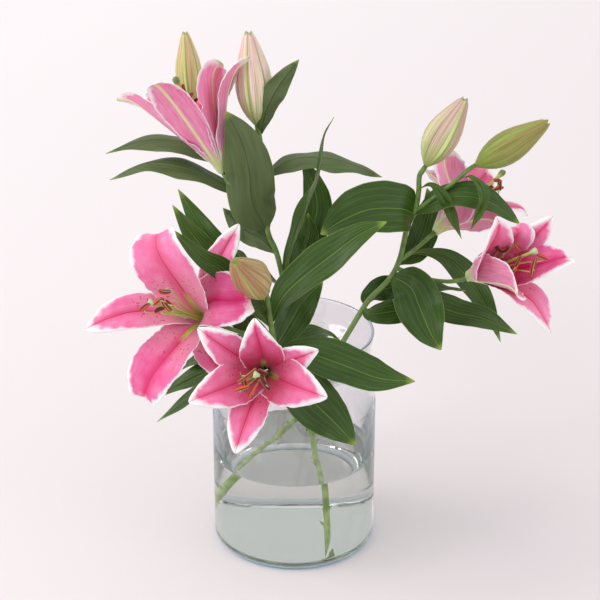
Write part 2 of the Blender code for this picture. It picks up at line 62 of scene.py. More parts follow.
TRAPPED_BOUNCES = 12
HEEL_EDGE = 4.8 * MM
WATER_LEVEL = 104 * MM
MENISCUS = 1.6 * MM
WAIST_RINGS, LIP_RINGS = 60, 9
INNER_FOOT_RINGS, OUTER_FOOT_RINGS = 14, 18
GLASS_INDEX, WATER_INDEX = 1.5, 1.333


def linear(hex_colour):
    """An sRGB hex colour as the linear values that a shader takes."""
    channels = [int(hex_colour[place:place + 2], 16) / 255 for place in (1, 3, 5)]
    return (*[share / 12.92 if share <= 0.04045 else ((share + 0.055) / 1.055) ** 2.4
              for share in channels], 1.0)


def node(tree, kind, inputs=(), **settings):
    """Adds a shader node with its settings, and sets or links its inputs.

    The inputs are given by name, or else in the order in which the node shows them, so that a MapRange has
    its value, from low, from high, to low and to high. A hex colour is turned linear, and another node
    stands for the first output that it shows.
    """
    made = tree.nodes.new("ShaderNode" + kind)
    for name, value in settings.items():
        setattr(made, name, value)
    if isinstance(inputs, dict):
        pairs = [(made.inputs[name], value) for name, value in inputs.items()]
    else:
        pairs = zip([socket for socket in made.inputs if socket.enabled], inputs)
    for socket, value in pairs:
        if isinstance(value, bpy.types.Node):
            value = next(output for output in value.outputs if output.enabled)
        if isinstance(value, bpy.types.NodeSocket):
            tree.links.new(value, socket)
        else:
            socket.default_value = linear(value) if isinstance(value, str) else value
    return made


def empty_material(name):
    """An empty material and its tree."""
    made = bpy.data.materials.new(name)
    made.use_nodes = True
    made.node_tree.nodes.clear()
    return made, made.node_tree


def clear_body(name, face_on, edge_on, ior, ripple_size, ripple_strength, shade):
    """A clear body that bends the view, but lets shadow and bounced rays straight through.

    Those rays light what is inside and behind it. The shade is how much of a shadow ray gets through,
    and the tint runs from its colour face on to its colour along the wall. Light that stays trapped in
    the wall leaks out blue.
    """
    made, tree = empty_material(name)
    places = node(tree, "TexCoord").outputs["Object"]
    flattened = node(tree, "VectorMath", (places, (1.0, 1.0, 5.0)), operation="MULTIPLY")
    drift = node(tree, "TexNoise", {"Vector": flattened, "Scale": 1 / ripple_size, "Detail": 1.0})
    ripple = node(tree, "Bump", {"Height": drift, "Strength": ripple_strength, "Distance": 1 * MM})
    slant = node(tree, "LayerWeight", {"Blend": 0.5}).outputs["Facing"]
    share = node(tree, "MapRange", (slant, 0.8, 1.0))
    tint = node(tree, "Mix", (share, face_on, edge_on), data_type="RGBA")
    shader = node(tree, "BsdfPrincipled", {
        "Base Color": tint, "Roughness": 0.0, "IOR": ior, "Transmission Weight": 1.0, "Normal": ripple})
    ray = node(tree, "LightPath")
    let_through = node(tree, "Mix", (ray.outputs["Is Shadow Ray"], "#FAFBFB", shade), data_type="RGBA")
    trapped = node(tree, "Math", (ray.outputs["Ray Depth"], TRAPPED_BOUNCES), operation="GREATER_THAN")
    leaked = node(tree, "Mix", (trapped, let_through, "#C9D2D9"), data_type="RGBA")
    straight = node(tree, "BsdfTransparent", {"Color": leaked})
    indirect = node(tree, "Math", (ray.outputs["Is Shadow Ray"], ray.outputs["Is Diffuse Ray"]),
                    operation="MAXIMUM")
    passed = node(tree, "Math", (indirect, trapped), operation="MAXIMUM")
    mixed = node(tree, "MixShader", (passed, shader, straight))
    node(tree, "OutputMaterial", {"Surface": mixed})
    return made


def soda_lime_glass(name, beside, face_on, edge_on):
    """Blown soda-lime glass: colourless face on, blue where the eye looks along the wall.

    It bends the view less where what lies beside it is water, with an index of 1.333, and not air.
    """
    return clear_body(name, face_on, edge_on, GLASS_INDEX / beside, MOULD_RIPPLE, 0.035, "#DADFE2")


def heel_glass():
    """The rounded edge of the foot. Its pale blue is painted light, for all the light that the base gathers
    and sends out here.

    Seen from inside the wall it is nearly colourless.
    """
    made, tree = empty_material("heel_glass")
    # Painted light: this pale blue base colour stands in for the light that the base gathers and sends out at
    # its edge.
    outside = node(tree, "BsdfPrincipled", {
        "Base Color": "#9CCBE6", "Roughness": 0.15, "IOR": GLASS_INDEX, "Transmission Weight": 0.45})
    inside = node(tree, "BsdfPrincipled", {
        "Base Color": "#E2E9ED", "Roughness": 0.1, "IOR": GLASS_INDEX, "Transmission Weight": 0.6})
    from_inside = node(tree, "NewGeometry").outputs["Backfacing"]
    mixed = node(tree, "MixShader", (from_inside, outside, inside))
    node(tree, "OutputMaterial", {"Surface": mixed})
    return made


def smooth_curve(points, count):
    """Evenly spaced places on a smooth curve through a few points."""
    known = np.array([tuple(point) for point in points], float)
    before, after = 2 * known[0] - known[1], 2 * known[-1] - known[-2]
    known = np.vstack([before, known, after])
    steps = np.linspace(0, 1, 33)[:, None]
    spans = []
    for a, b, c, d in zip(known, known[1:], known[2:], known[3:]):
        bend = (c - a) * steps + (2 * a - 5 * b + 4 * c - d) * steps ** 2
        spans.append(b + 0.5 * (bend + (3 * b - a - 3 * c + d) * steps ** 3))
    places = np.vstack([spans[0]] + [span[1:] for span in spans[1:]])
    run = np.concatenate([[0], np.cumsum(np.linalg.norm(np.diff(places, axis=0), axis=1))])
    wanted = np.linspace(0, run[-1], count)
    return np.stack([np.interp(wanted, run, places[:, axis]) for axis in range(known.shape[1])], axis=1)


def corner(centre_radius, centre_height, radius, count):
    """A quarter round from straight out to straight down, for the foot of a turned outline."""
    turns = [math.pi / 2 * step / (count - 1) for step in range(count)]
    return [(centre_radius + radius * math.cos(turn), centre_height - radius * math.sin(turn))
            for turn in turns]


def mesh_of(name, vertices, faces):
    """A smooth-shaded mesh."""
    mesh = bpy.data.meshes.new(name)
    mesh.from_pydata([tuple(vertex) for vertex in vertices], [], faces)
    mesh.shade_smooth()
    return mesh


def turned(name, profile, sides):
    """A closed mesh turned round the Z axis from an outline of (radius, height) that ends on the axis."""
    vertices, faces, rings = [], [], []
    for radius, height in profile:
        if radius == 0:
            rings.append([len(vertices)] * sides)
            vertices.append((0, 0, height))
            continue
        rings.append(range(len(vertices), len(vertices) + sides))
        for side in range(sides):
            turn = math.tau * side / sides
            vertices.append((radius * math.cos(turn), radius * math.sin(turn), height))
    for low, high in zip(rings, rings[1:]):
        for side in range(sides):
            after = (side + 1) % sides
            face = [low[side], high[side], high[after], low[after]]
            faces.append([corner_vertex for place, corner_vertex in enumerate(face)
                          if corner_vertex not in face[:place]])
    return mesh_of(name, vertices, faces)


def show(name, mesh, materials, replaced):
    """Puts a finished piece in the scene, riding on the part's one body in place of its CAD nodes."""
    piece = bpy.data.objects.new(name, mesh)
    bpy.context.scene.collection.objects.link(piece)
    for finish in materials:
        mesh.materials.append(finish)
    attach(piece, "root")
    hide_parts(replaced)
    return piece


waist = (
    (VASE_RIM_RADIUS, VASE_HEIGHT - VASE_WALL / 2),
    (VASE_RIM_RADIUS - RIM_FLARE, COLLAR_HEIGHT),
    (VASE_NECK_RADIUS + COLLAR_FLARE, (COLLAR_HEIGHT + NECK_HEIGHT) / 2 + 1 * MM),
    (VASE_NECK_RADIUS, NECK_HEIGHT),
    (VASE_NECK_RADIUS + NECK_FLARE, NECK_HEIGHT + (SHOULDER_HEIGHT - NECK_HEIGHT) * 0.45),
    (VASE_RADIUS, SHOULDER_HEIGHT),
)
outside = [tuple(place) for place in smooth_curve(waist, WAIST_RINGS)]
inside = []
for index, (radius, height) in enumerate(outside):
    ahead, behind = outside[min(index + 1, WAIST_RINGS - 1)], outside[max(index - 1, 0)]
    run = Vector((ahead[0] - behind[0], ahead[1] - behind[1])).normalized()
    inside.append((radius + run.y * VASE_WALL, height - run.x * VASE_WALL))
lip = [(VASE_RIM_RADIUS - VASE_WALL / 2 * (1 + math.cos(turn)), VASE_HEIGHT - VASE_WALL / 2
        + VASE_WALL / 2 * math.sin(turn)) for turn in np.linspace(0, math.pi, LIP_RINGS)[1:-1]]
inner_foot = corner(VASE_RADIUS - HEEL_RADIUS, VASE_FLOOR + HEEL_RADIUS - VASE_WALL,
                    HEEL_RADIUS - VASE_WALL, INNER_FOOT_RINGS)
outer_foot = corner(VASE_RADIUS - HEEL_RADIUS, HEEL_RADIUS, HEEL_RADIUS, OUTER_FOOT_RINGS)
flat_radii = (20 * MM, 40 * MM, 60 * MM, VASE_RADIUS - HEEL_RADIUS - 1 * MM)
inner_flat = [(0, VASE_FLOOR)] + [(radius, VASE_FLOOR) for radius in flat_radii]
punt_edge = flat_radii[-1]
outer_flat = [(radius, PUNT * (1 - (radius / punt_edge) ** 2)) for radius in (*flat_radii[::-1], 0)]
waterline = (VASE_RADIUS - VASE_WALL, WATER_LEVEL + MENISCUS)
vase_outline = (inner_flat + inner_foot[::-1] + [waterline] + inside[::-1] + lip + outside + outer_foot
                + outer_flat)
vase = show("vase", turned("vase", vase_outline, VASE_SIDES),
            [soda_lime_glass("soda_lime_glass", 1.0, "#F6F6F8", "#BAD8EA"),
             soda_lime_glass("wetted_glass", WATER_INDEX, "#FCFCFD", "#E2EBEF"),
             heel_glass(),
             # The collar's greyer tint is painted shade, standing in for the dark surroundings that its flare
             # reflects.
             soda_lime_glass("collar_glass", 1.0, "#E8E7EB", "#C3DAE8"),
             soda_lime_glass("lip_glass", 1.0, "#F1F6F9", "#B4D0E2")],
            "vase")
for face in vase.data.polygons:
    towards_axis = face.normal.z > 0.5 or face.normal.dot(face.center) < 0
    wetted = towards_axis and VASE_FLOOR - MM < face.center.z < waterline[1]
    heel = not towards_axis and face.center.z < HEEL_EDGE
    if wetted or heel:
        face.material_index = 1 if wetted else 2
    elif face.center.z > NECK_HEIGHT:
        face.material_index = 4 if face.center.z > VASE_HEIGHT - VASE_WALL else 3
    face.use_smooth = abs(face.normal.z) < 0.9999

# The buds
# Closed lily flowers: three outer tepals folded edge to edge round three inner ones, each with a strong green
# keel down its back. Their skin is cream, flushed with pink near the tip and green at the foot.
VIEW_DISTANCE = 2131 * MM
VIEW_ACROSS = 6.6 * MM
VIEW_HEIGHT = 285 * MM
VIEW_PITCH = math.radians(25.4)
VIEW_FOCAL = 1996
VIEW_CENTRE = 300
camera_place = Vector((VIEW_ACROSS, 0, VIEW_HEIGHT))
camera_place += VIEW_DISTANCE * Vector((0, -math.cos(VIEW_PITCH), math.sin(VIEW_PITCH)))
# The points of buds, leaves, flowers and stem tops are (column, row, depth): where they show in a 600 by 600
# view, and how many millimetres they lie behind the vase's axis, with minus for nearer. A bud's width is in
# mm, and its turn is how many degrees round to the right of the view its front keel stands.
Bud = namedtuple("Bud", "foot tip width turn flesh flush pedicel")
BUDS = {
    1: {
        "bud_1": Bud((191, 104, 142), (184.8, 31.5, 146), 28, -8, "#BECB70", "#CFB588",
                     pedicel=((262, 188, 68), (232, 165, 108), (200, 132, 138))),
        "bud_2": Bud((257, 125, 77), (248, 31, 84), 38, -14, "#D6D8A4", "#E0BAB4",
                     pedicel=((261, 150, 72),)),
    },
    2: {
        "bud_3": Bud((264, 292, -94), (234.5, 261, -154), 36, -22, "#B9AA6C", "#A2744E",
                     pedicel=((270, 318, -81),)),
    },
    3: {
        "bud_4": Bud((426, 165.5, 66), (466, 98, 70), 36, 28, "#C0CA86", "#C09A92",
                     pedicel=((419.5, 176, 66),)),
        "bud_5": Bud((476, 165, 60), (549, 121, 66), 34, -25, "#84923C", "#948544",
                     pedicel=((415, 212, 66), (428, 202, 60), (448, 187, 57))),
    },
}
BUD_OUTLINE = ((0, 0.16), (0.04, 0.32), (0.1, 0.55), (0.18, 0.77), (0.28, 0.93), (0.38, 1), (0.48, 0.99),
               (0.6, 0.89), (0.74, 0.69), (0.86, 0.49), (0.94, 0.34), (1, 0.16))
BUD_SIDES, BUD_RINGS = 144, 60
BUD_TIP_SHARE = 0.94
BUD_TIP_SPLIT = 2.4 * MM
BUD_DIMPLE = 5 * MM
KEEL_HEIGHT = 0.11
SEAM_DEPTH = 0.13
FLUTING = 0.02


def share_along(outline, at):
    """How wide a blade or bud is, as a share of its widest, at a place from 0, its root, to 1."""
    places, shares = zip(*outline)
    return np.interp(at, places, shares)


def seen(point):
    """The place in metres of a point given by its column and row in the view and its depth."""
    column, row, depth = point
    behind = depth * MM
    rise = (VIEW_CENTRE - row) / VIEW_FOCAL
    sine, cosine = math.sin(VIEW_PITCH), math.cos(VIEW_PITCH)
    height = (rise * (VIEW_DISTANCE + behind * cosine) - behind * sine) / (cosine + rise * sine)
    distance = VIEW_DISTANCE + behind * cosine - height * sine
    across = (column - VIEW_CENTRE) / VIEW_FOCAL * distance
    return Vector((VIEW_ACROSS + across, behind, VIEW_HEIGHT + height))


def gathered(name, parts, attribute):
    """One mesh of several (vertices, faces, pattern), with the pattern places kept as an attribute."""
    vertices, faces, pattern = [], [], []
    for some_vertices, some_faces, some_pattern in parts:
        start = len(vertices)
        vertices += list(some_vertices)
        faces += [tuple(start + corner_vertex for corner_vertex in face) for face in some_faces]
        pattern += list(some_pattern)
    mesh = mesh_of(name, vertices, faces)
    kept = mesh.attributes.new(attribute, "FLOAT_VECTOR", "POINT")
    kept.data.foreach_set("vector", np.array(pattern, np.float32).ravel())
    return mesh


def pattern_of(tree, attribute):
    """The three pattern places that a mesh keeps as an attribute."""
    places = node(tree, "Attribute", attribute_name=attribute).outputs["Vector"]
    return node(tree, "SeparateXYZ", {"Vector": places}).outputs


def lily_bud_skin(name, flesh, flush):
    """Bud skin: satin wax over flesh that is streaked lengthwise and flushes as the bud gets ripe."""
    made, tree = empty_material(name)
    keel, along, around = pattern_of(tree, "bud")
    lengthwise = node(tree, "Math", (along, 0.1), operation="MULTIPLY")
    drawn = node(tree, "CombineXYZ", {"X": around, "Y": lengthwise})
    fine = node(tree, "TexNoise", {"Vector": drawn, "Scale": 14.0, "Detail": 3.0, "Roughness": 0.6})
    broad = node(tree, "TexNoise", {"Vector": drawn, "Scale": 2.6, "Detail": 2.0})
    ripeness = node(tree, "MapRange", (along, 0.15, 0.9, -0.25, 0.45))
    patch = node(tree, "MapRange", (broad, 0.35, 0.65))
    blush = node(tree, "Math", (patch, ripeness), operation="ADD", use_clamp=True)
    flushed = node(tree, "Mix", (blush, flesh, flush), data_type="RGBA")
    streak = node(tree, "MapRange", (fine, 0.45, 0.7, 0, 0.8))
    streaked = node(tree, "HueSaturation", {"Fac": streak, "Color": flushed, "Value": 1.45,
                                            "Saturation": 0.8})
    dark = node(tree, "MapRange", (fine, 0.46, 0.29, 0, 0.85))
    darker = node(tree, "HueSaturation", {"Fac": dark, "Color": streaked, "Value": 0.5, "Saturation": 1.2})
    foot = node(tree, "MapRange", (along, 0.35, 0.0, 0, 0.8))
    footed = node(tree, "Mix", (foot, darker, "#93AB4C"), data_type="RGBA")
    rib = node(tree, "MapRange", (keel, 0.988, 0.9995, 0, 0.8), interpolation_type="SMOOTHSTEP")
    ribbed = node(tree, "Mix", (rib, footed, "#8CA53E"), data_type="RGBA")
    seam = node(tree, "MapRange", (keel, 0.13, 0.02, 0, 0.7))
    seamed = node(tree, "Mix", (seam, ribbed, "#7E8C3C"), data_type="RGBA")
    tip = node(tree, "MapRange", (along, 0.96, 1.0, 0, 0.7))
    tipped = node(tree, "Mix", (tip, seamed, "#7C9A33"), data_type="RGBA")
    raised = node(tree, "Math", (fine, rib), operation="ADD")
    relief = node(tree, "Bump", {"Height": raised, "Strength": 0.5, "Distance": 0.4 * MM})
    shader = node(tree, "BsdfPrincipled", {
        "Base Color": tipped, "Roughness": 0.45, "IOR": 1.45, "Subsurface Weight": 0.2,
        "Subsurface Radius": (1.0, 0.7, 0.4), "Subsurface Scale": 0.003, "Normal": relief})
    node(tree, "OutputMaterial", {"Surface": shader})
    return made


def bud_mesh(name, bud):
    """A bud with three keels, three seams, and a tip split into three small points."""
    foot, tip = seen(bud.foot), seen(bud.tip)
    turn_to = (tip - foot).to_track_quat("Z", "Y").to_matrix()
    length = (tip - foot).length
    view = turn_to.inverted() @ (camera_place - foot)
    back_keel = math.atan2(view.y, view.x) + math.radians(bud.turn + 120)
    vertices, pattern, faces = [], [], []
    for ring in range(BUD_RINGS + 1):
        at = ring / BUD_RINGS
        half = bud.width / 2 * MM * share_along(BUD_OUTLINE, at)
        for side in range(BUD_SIDES):
            from_keel = math.tau * side / BUD_SIDES
            around = back_keel + from_keel
            keel = abs(math.cos(1.5 * from_keel))
            shape = 1 + KEEL_HEIGHT * keel ** 10 - SEAM_DEPTH * (1 - keel) ** 4
            shape += FLUTING * math.cos(12 * math.acos(keel)) * math.sin(math.pi * at)
            split = BUD_TIP_SPLIT * max(0.0, (at - BUD_TIP_SHARE) / (1 - BUD_TIP_SHARE))
            place = Vector((half * shape * math.cos(around), half * shape * math.sin(around),
                            at * length - split * (1 - keel ** 3)))
            vertices.append(foot + turn_to @ place)
            pattern.append((keel, at, from_keel))
    for ring in range(BUD_RINGS):
        for side in range(BUD_SIDES):
            low, after = ring * BUD_SIDES + side, ring * BUD_SIDES + (side + 1) % BUD_SIDES
            faces.append((low, after, after + BUD_SIDES, low + BUD_SIDES))
    dimple = len(vertices)
    vertices += [foot, foot + turn_to @ Vector((0, 0, length - BUD_DIMPLE))]
    pattern += [(0, 0, 0), (0, 1, 0)]
    top = BUD_RINGS * BUD_SIDES
    for side in range(BUD_SIDES):
        after = (side + 1) % BUD_SIDES
        faces += [(dimple, after, side), (top + side, top + after, dimple + 1)]
    return gathered(name, [(vertices, faces, pattern)], "bud")


for number, buds in BUDS.items():
    for name, bud in buds.items():
        skin = lily_bud_skin(f"{name}_skin", bud.flesh, bud.flush)
        show(name, bud_mesh(name, bud), [skin], name)

# The leaves
# Long lance-shaped leaves, set all round each stem. They have a glossy wax skin on top, a duller grey-green
# one below, and fine veins that run side by side from foot to tip.
# A leaf's width is in mm, its facing is the way that its glossy side looks, and its twist is in degrees.
Leaf = namedtuple("Leaf", "spine width facing shape twist", defaults=("lance", 0))
TOWARDS_VIEW = (0.0, -0.9, 0.43)
AWAY_FROM_VIEW = (0.0, 0.9, -0.43)
DOWNWARDS = (0.0, 0.25, -1.0)
UPWARDS = (0.0, -0.25, 1.0)
LEAVES = {
    1: {
        "big_front": Leaf(
            ((267, 231, 60), (253, 204, 50), (249, 170, 44), (241, 140, 42), (225.5, 111, 40)), 52,
            AWAY_FROM_VIEW, "clasping"),
        "bud_bract": Leaf(
            ((261, 134, 74), (267, 108, 66), (280, 84, 62), (299, 59.5, 62)), 25, (-0.2, 0.95, -0.25)),
        "upper_left": Leaf(
            ((263, 188, 68), (215, 152, 84), (166, 141, 96), (135, 143, 98), (105.5, 153.7, 98)), 36,
            DOWNWARDS, "slim"),
        "lower_left": Leaf(
            ((264, 206, 66), (228, 187, 70), (190, 168, 76), (150, 164, 80), (109.6, 180, 82)), 34,
            DOWNWARDS, "slim"),
        "arching_right": Leaf(
            ((262, 178, 70), (288, 162, 78), (316, 157.5, 84), (350, 164, 90), (382, 177, 95)), 36,
            DOWNWARDS),
        "slender": Leaf(
            ((283, 276, 48), (291, 245, 42), (303, 212, 36), (316, 183, 34), (321, 158, 36),
             (324, 136, 40), (334, 117, 46)), 24, (-0.75, -0.6, 0.2), twist=-50),
        "behind": Leaf(
            ((287, 288, 46), (308, 240, 62), (317, 208, 74), (312, 180, 80), (301, 157.6, 84)), 36,
            TOWARDS_VIEW),
        "short_tip": Leaf(
            ((286, 286, 46), (300, 258, 48), (309, 236, 52), (308, 213, 56)), 26, TOWARDS_VIEW),
        "side_on": Leaf(
            ((276, 253, 54), (262, 240, 66), (241, 227, 80), (223, 208, 95)), 26, (0.3, 0.6, -0.7)),
        "low_left": Leaf(
            ((284, 288, 46), (262, 273, 28), (240, 258, 12), (212, 243, 0)), 26, UPWARDS),
    },
    2: {
        "broad_right": Leaf(
            ((271, 322, -81), (283, 297, -70), (305, 275, -58), (335, 252, -46), (362, 233, -36),
             (386.7, 221.8, -28)), 40, (-0.35, -0.75, 0.55)),
        "hidden_right": Leaf(
            ((275, 348, -79), (289, 325, -62), (303, 302, -50), (323, 281, -38)), 36, TOWARDS_VIEW),
        "small_right": Leaf(
            ((275, 350, -79), (303, 338, -56), (322, 333, -42), (341, 341, -30)), 26, UPWARDS),
        "front_right": Leaf(
            ((274, 352, -79), (308, 353, -92), (345, 366, -102), (380, 378, -108), (415, 381.5, -110)),
            46, (0, -0.6, 0.8)),
        "hanging_front": Leaf(
            ((274, 352, -79), (290, 372, -100), (312, 400, -112), (336, 424, -120), (355.7, 445, -122)),
            52, (0.1, -0.9, 0.4)),
        "high_left": Leaf(
            ((268, 312, -82), (236, 272, -50), (205, 232, -25), (178, 189, -5)), 28, TOWARDS_VIEW),
        "mid_left": Leaf(
            ((269, 318, -82), (228, 276, -54), (195, 238, -40), (172.5, 205, -30)), 28, TOWARDS_VIEW),
        "low_left": Leaf(
            ((270, 326, -81), (248, 299, -85), (225, 273, -93), (200, 257, -106), (173, 230, -104)), 25,
            (0.2, -0.8, 0.6)),
        "short_left": Leaf(
            ((271, 336, -80), (248, 325, -72), (234, 310, -64), (224, 293, -58)), 24, TOWARDS_VIEW),
        "drooping_left": Leaf(
            ((273, 336, -80), (245, 346, -76), (212, 368, -76), (178, 386, -80), (147, 400, -85)), 28,
            UPWARDS),
        "lowest_left": Leaf(
            ((273, 340, -80), (245, 350, -74), (215, 376, -69), (186, 401, -67), (157, 422, -67)), 24,
            UPWARDS),
        "outer_left": Leaf(
            ((273, 333, -80), (240, 342, -69), (200, 358, -62), (170, 375, -58)), 24, UPWARDS),
    },
    3: {
        "broad_left": Leaf(
            ((414, 214, 65), (401, 209, 52), (370, 209, 42), (343, 220, 34), (320.6, 234.3, 30)), 57,
            (0, -0.8, 0.6), "clasping"),
        "dark_behind": Leaf(
            ((399, 264, 60), (416, 250, 84), (426, 226, 96), (430, 204, 102), (427, 188, 104)), 32,
            TOWARDS_VIEW),
        "bract_left": Leaf(
            ((419, 189, 64), (430, 184.5, 54), (440, 192, 46), (450, 210, 42), (461.5, 239, 38)), 14,
            (-0.3, -0.9, 0.3), "slim"),
        "bract_right": Leaf(
            ((462, 178, 58), (472, 177, 46), (482, 188, 34), (483.5, 200, 27), (479, 213, 25),
             (470, 231, 26)), 12, (0.2, -0.95, 0.2), "slim"),
        "arching_right": Leaf(
            ((414, 214, 65), (438, 201, 54), (462, 196, 48), (490, 202, 46), (520, 224, 46)), 36,
            (0, -0.5, 0.85)),
        "behind_bloom": Leaf(
            ((402, 256, 61), (425, 252, 72), (450, 260, 84), (474, 286, 90), (489, 312, 90),
             (500.6, 342, 86)), 30, (0.2, -0.9, 0.35), "slim"),
        "hanging_front": Leaf(
            ((392, 276, 57), (411, 288, 30), (421, 311, 12), (430, 332, -2), (441, 350, -10)), 52,
            TOWARDS_VIEW),
        "low_right": Leaf(
            ((390, 279, 56), (430, 302, 56), (455, 312, 58), (485, 319, 62), (517, 334, 66)), 32,
            (0, -0.7, 0.7)),
        "strip": Leaf(
            ((396, 268, 59), (432, 285, 68), (466, 291, 76)), 14, UPWARDS),
        "crumpled_high": Leaf(
            ((365, 306, 40), (370, 297, 56), (383, 289, 62), (402, 288, 64), (420, 294, 66)), 28,
            (-0.3, -0.8, 0.5)),
        "crumpled_low": Leaf(
            ((363, 309, 37), (371, 314, 28), (390, 312, 34), (410, 309, 44), (430, 312, 52)), 28,
            TOWARDS_VIEW),
    },
}
# How wide a leaf of each shape is, as a share of its widest, at places from its foot to its tip.
LEAF_OUTLINES = {
    "lance": ((0, 0.12), (0.05, 0.25), (0.12, 0.5), (0.22, 0.76), (0.35, 0.94), (0.48, 1), (0.6, 0.95),
              (0.72, 0.8), (0.83, 0.55), (0.92, 0.29), (0.97, 0.13), (1, 0.02)),
    "slim": ((0, 0.08), (0.1, 0.12), (0.2, 0.35), (0.32, 0.7), (0.45, 0.95), (0.55, 1), (0.68, 0.85),
             (0.8, 0.55), (0.9, 0.28), (0.97, 0.1), (1, 0.02)),
    "clasping": ((0, 0.14), (0.03, 0.26), (0.06, 0.56), (0.1, 0.8), (0.17, 0.93), (0.34, 1), (0.5, 0.99),
                 (0.64, 0.9), (0.77, 0.7), (0.88, 0.42), (0.95, 0.2), (1, 0.02)),
}
LEAF_THICKNESS = 0.6 * MM
LEAF_CUP = 0.22
LEAF_WAVE = 2.1 * MM
LEAF_FOLD = 1.1 * MM
FOLD_WIDTH = 0.09
LEAF_ROWS, LEAF_COLUMNS = 64, 40
VEIN_SPACING = 0.25
PLEAT_DEPTH = 0.16 * MM


def blade(spine, width, crosswise, outline, cup, ripple, rows, columns, seed, fray=0.0,
          pale=0.0, deep=0.0):
    """The vertices, faces and pattern places of one thin sheet along a spine.

    crosswise(run, at) is its sideways way, cup(at) how far its edges rise as a share of its half width,
    and ripple(at, side) a further rise in metres. Pattern places are (across from -1 to 1, along from
    0 to 1, seed), and the sizes beside them (half width in mm, length in mm, how pale, how deep).
    """
    fine = [Vector(place) for place in smooth_curve(spine, rows + 1)]
    length = sum((after - before).length for before, after in zip(fine, fine[1:]))
    vertices, faces, pattern, sizes = [], [], [], []
    for step in range(rows + 1):
        at = step / rows
        run = (fine[min(step + 1, rows)] - fine[max(step - 1, 0)]).normalized()
        sideways = crosswise(run, at)
        sideways = (sideways - run * sideways.dot(run)).normalized()
        face = sideways.cross(run)
        half = width / 2 * share_along(outline, at)
        for place in range(columns + 1):
            side = 2 * place / columns - 1
            rise = cup(at) * half * side * side + ripple(at, side)
            uneven = noise.noise(Vector((14 * at, 4 * side, seed))) + 0.5 * noise.noise(
                Vector((45 * at, 4 * side, seed)))
            reach = side * half * (1 + fray * uneven * side * side)
            vertices.append(fine[step] + sideways * reach + face * rise)
            pattern.append((side, at, seed))
            sizes.append((half / MM, length / MM, pale, deep))
    for step in range(rows):
        for place in range(columns):
            low = step * (columns + 1) + place
            faces.append((low, low + 1, low + columns + 2, low + columns + 1))
    return vertices, faces, pattern, sizes


def sheets(name, parts):
    """One mesh of several blades, with their pattern places and sizes."""
    mesh = gathered(name, [part[:3] for part in parts], "blade")
    sizes = mesh.attributes.new("sizes", "FLOAT_COLOR", "POINT")
    sizes.data.foreach_set("color", np.array([row for part in parts for row in part[3]],
                                             np.float32).ravel())
    return mesh


def thicken(piece, thickness, edge_share):
    """Gives a sheet its thickness, thinner at its margins, with its second material on its back."""
    body = piece.vertex_groups.new(name="body")
    sides = np.zeros(len(piece.data.vertices) * 3, np.float32)
    piece.data.attributes["blade"].data.foreach_get("vector", sides)
    for index, side in enumerate(sides[0::3]):
        body.add([index], max(0.05, 1 - side * side * (1 - edge_share)), "REPLACE")
    solidify = piece.modifiers.new("thickness", "SOLIDIFY")
    solidify.thickness = thickness
    solidify.offset = 0.0
    solidify.vertex_group = body.name
    solidify.material_offset = 1
    solidify.material_offset_rim = 0


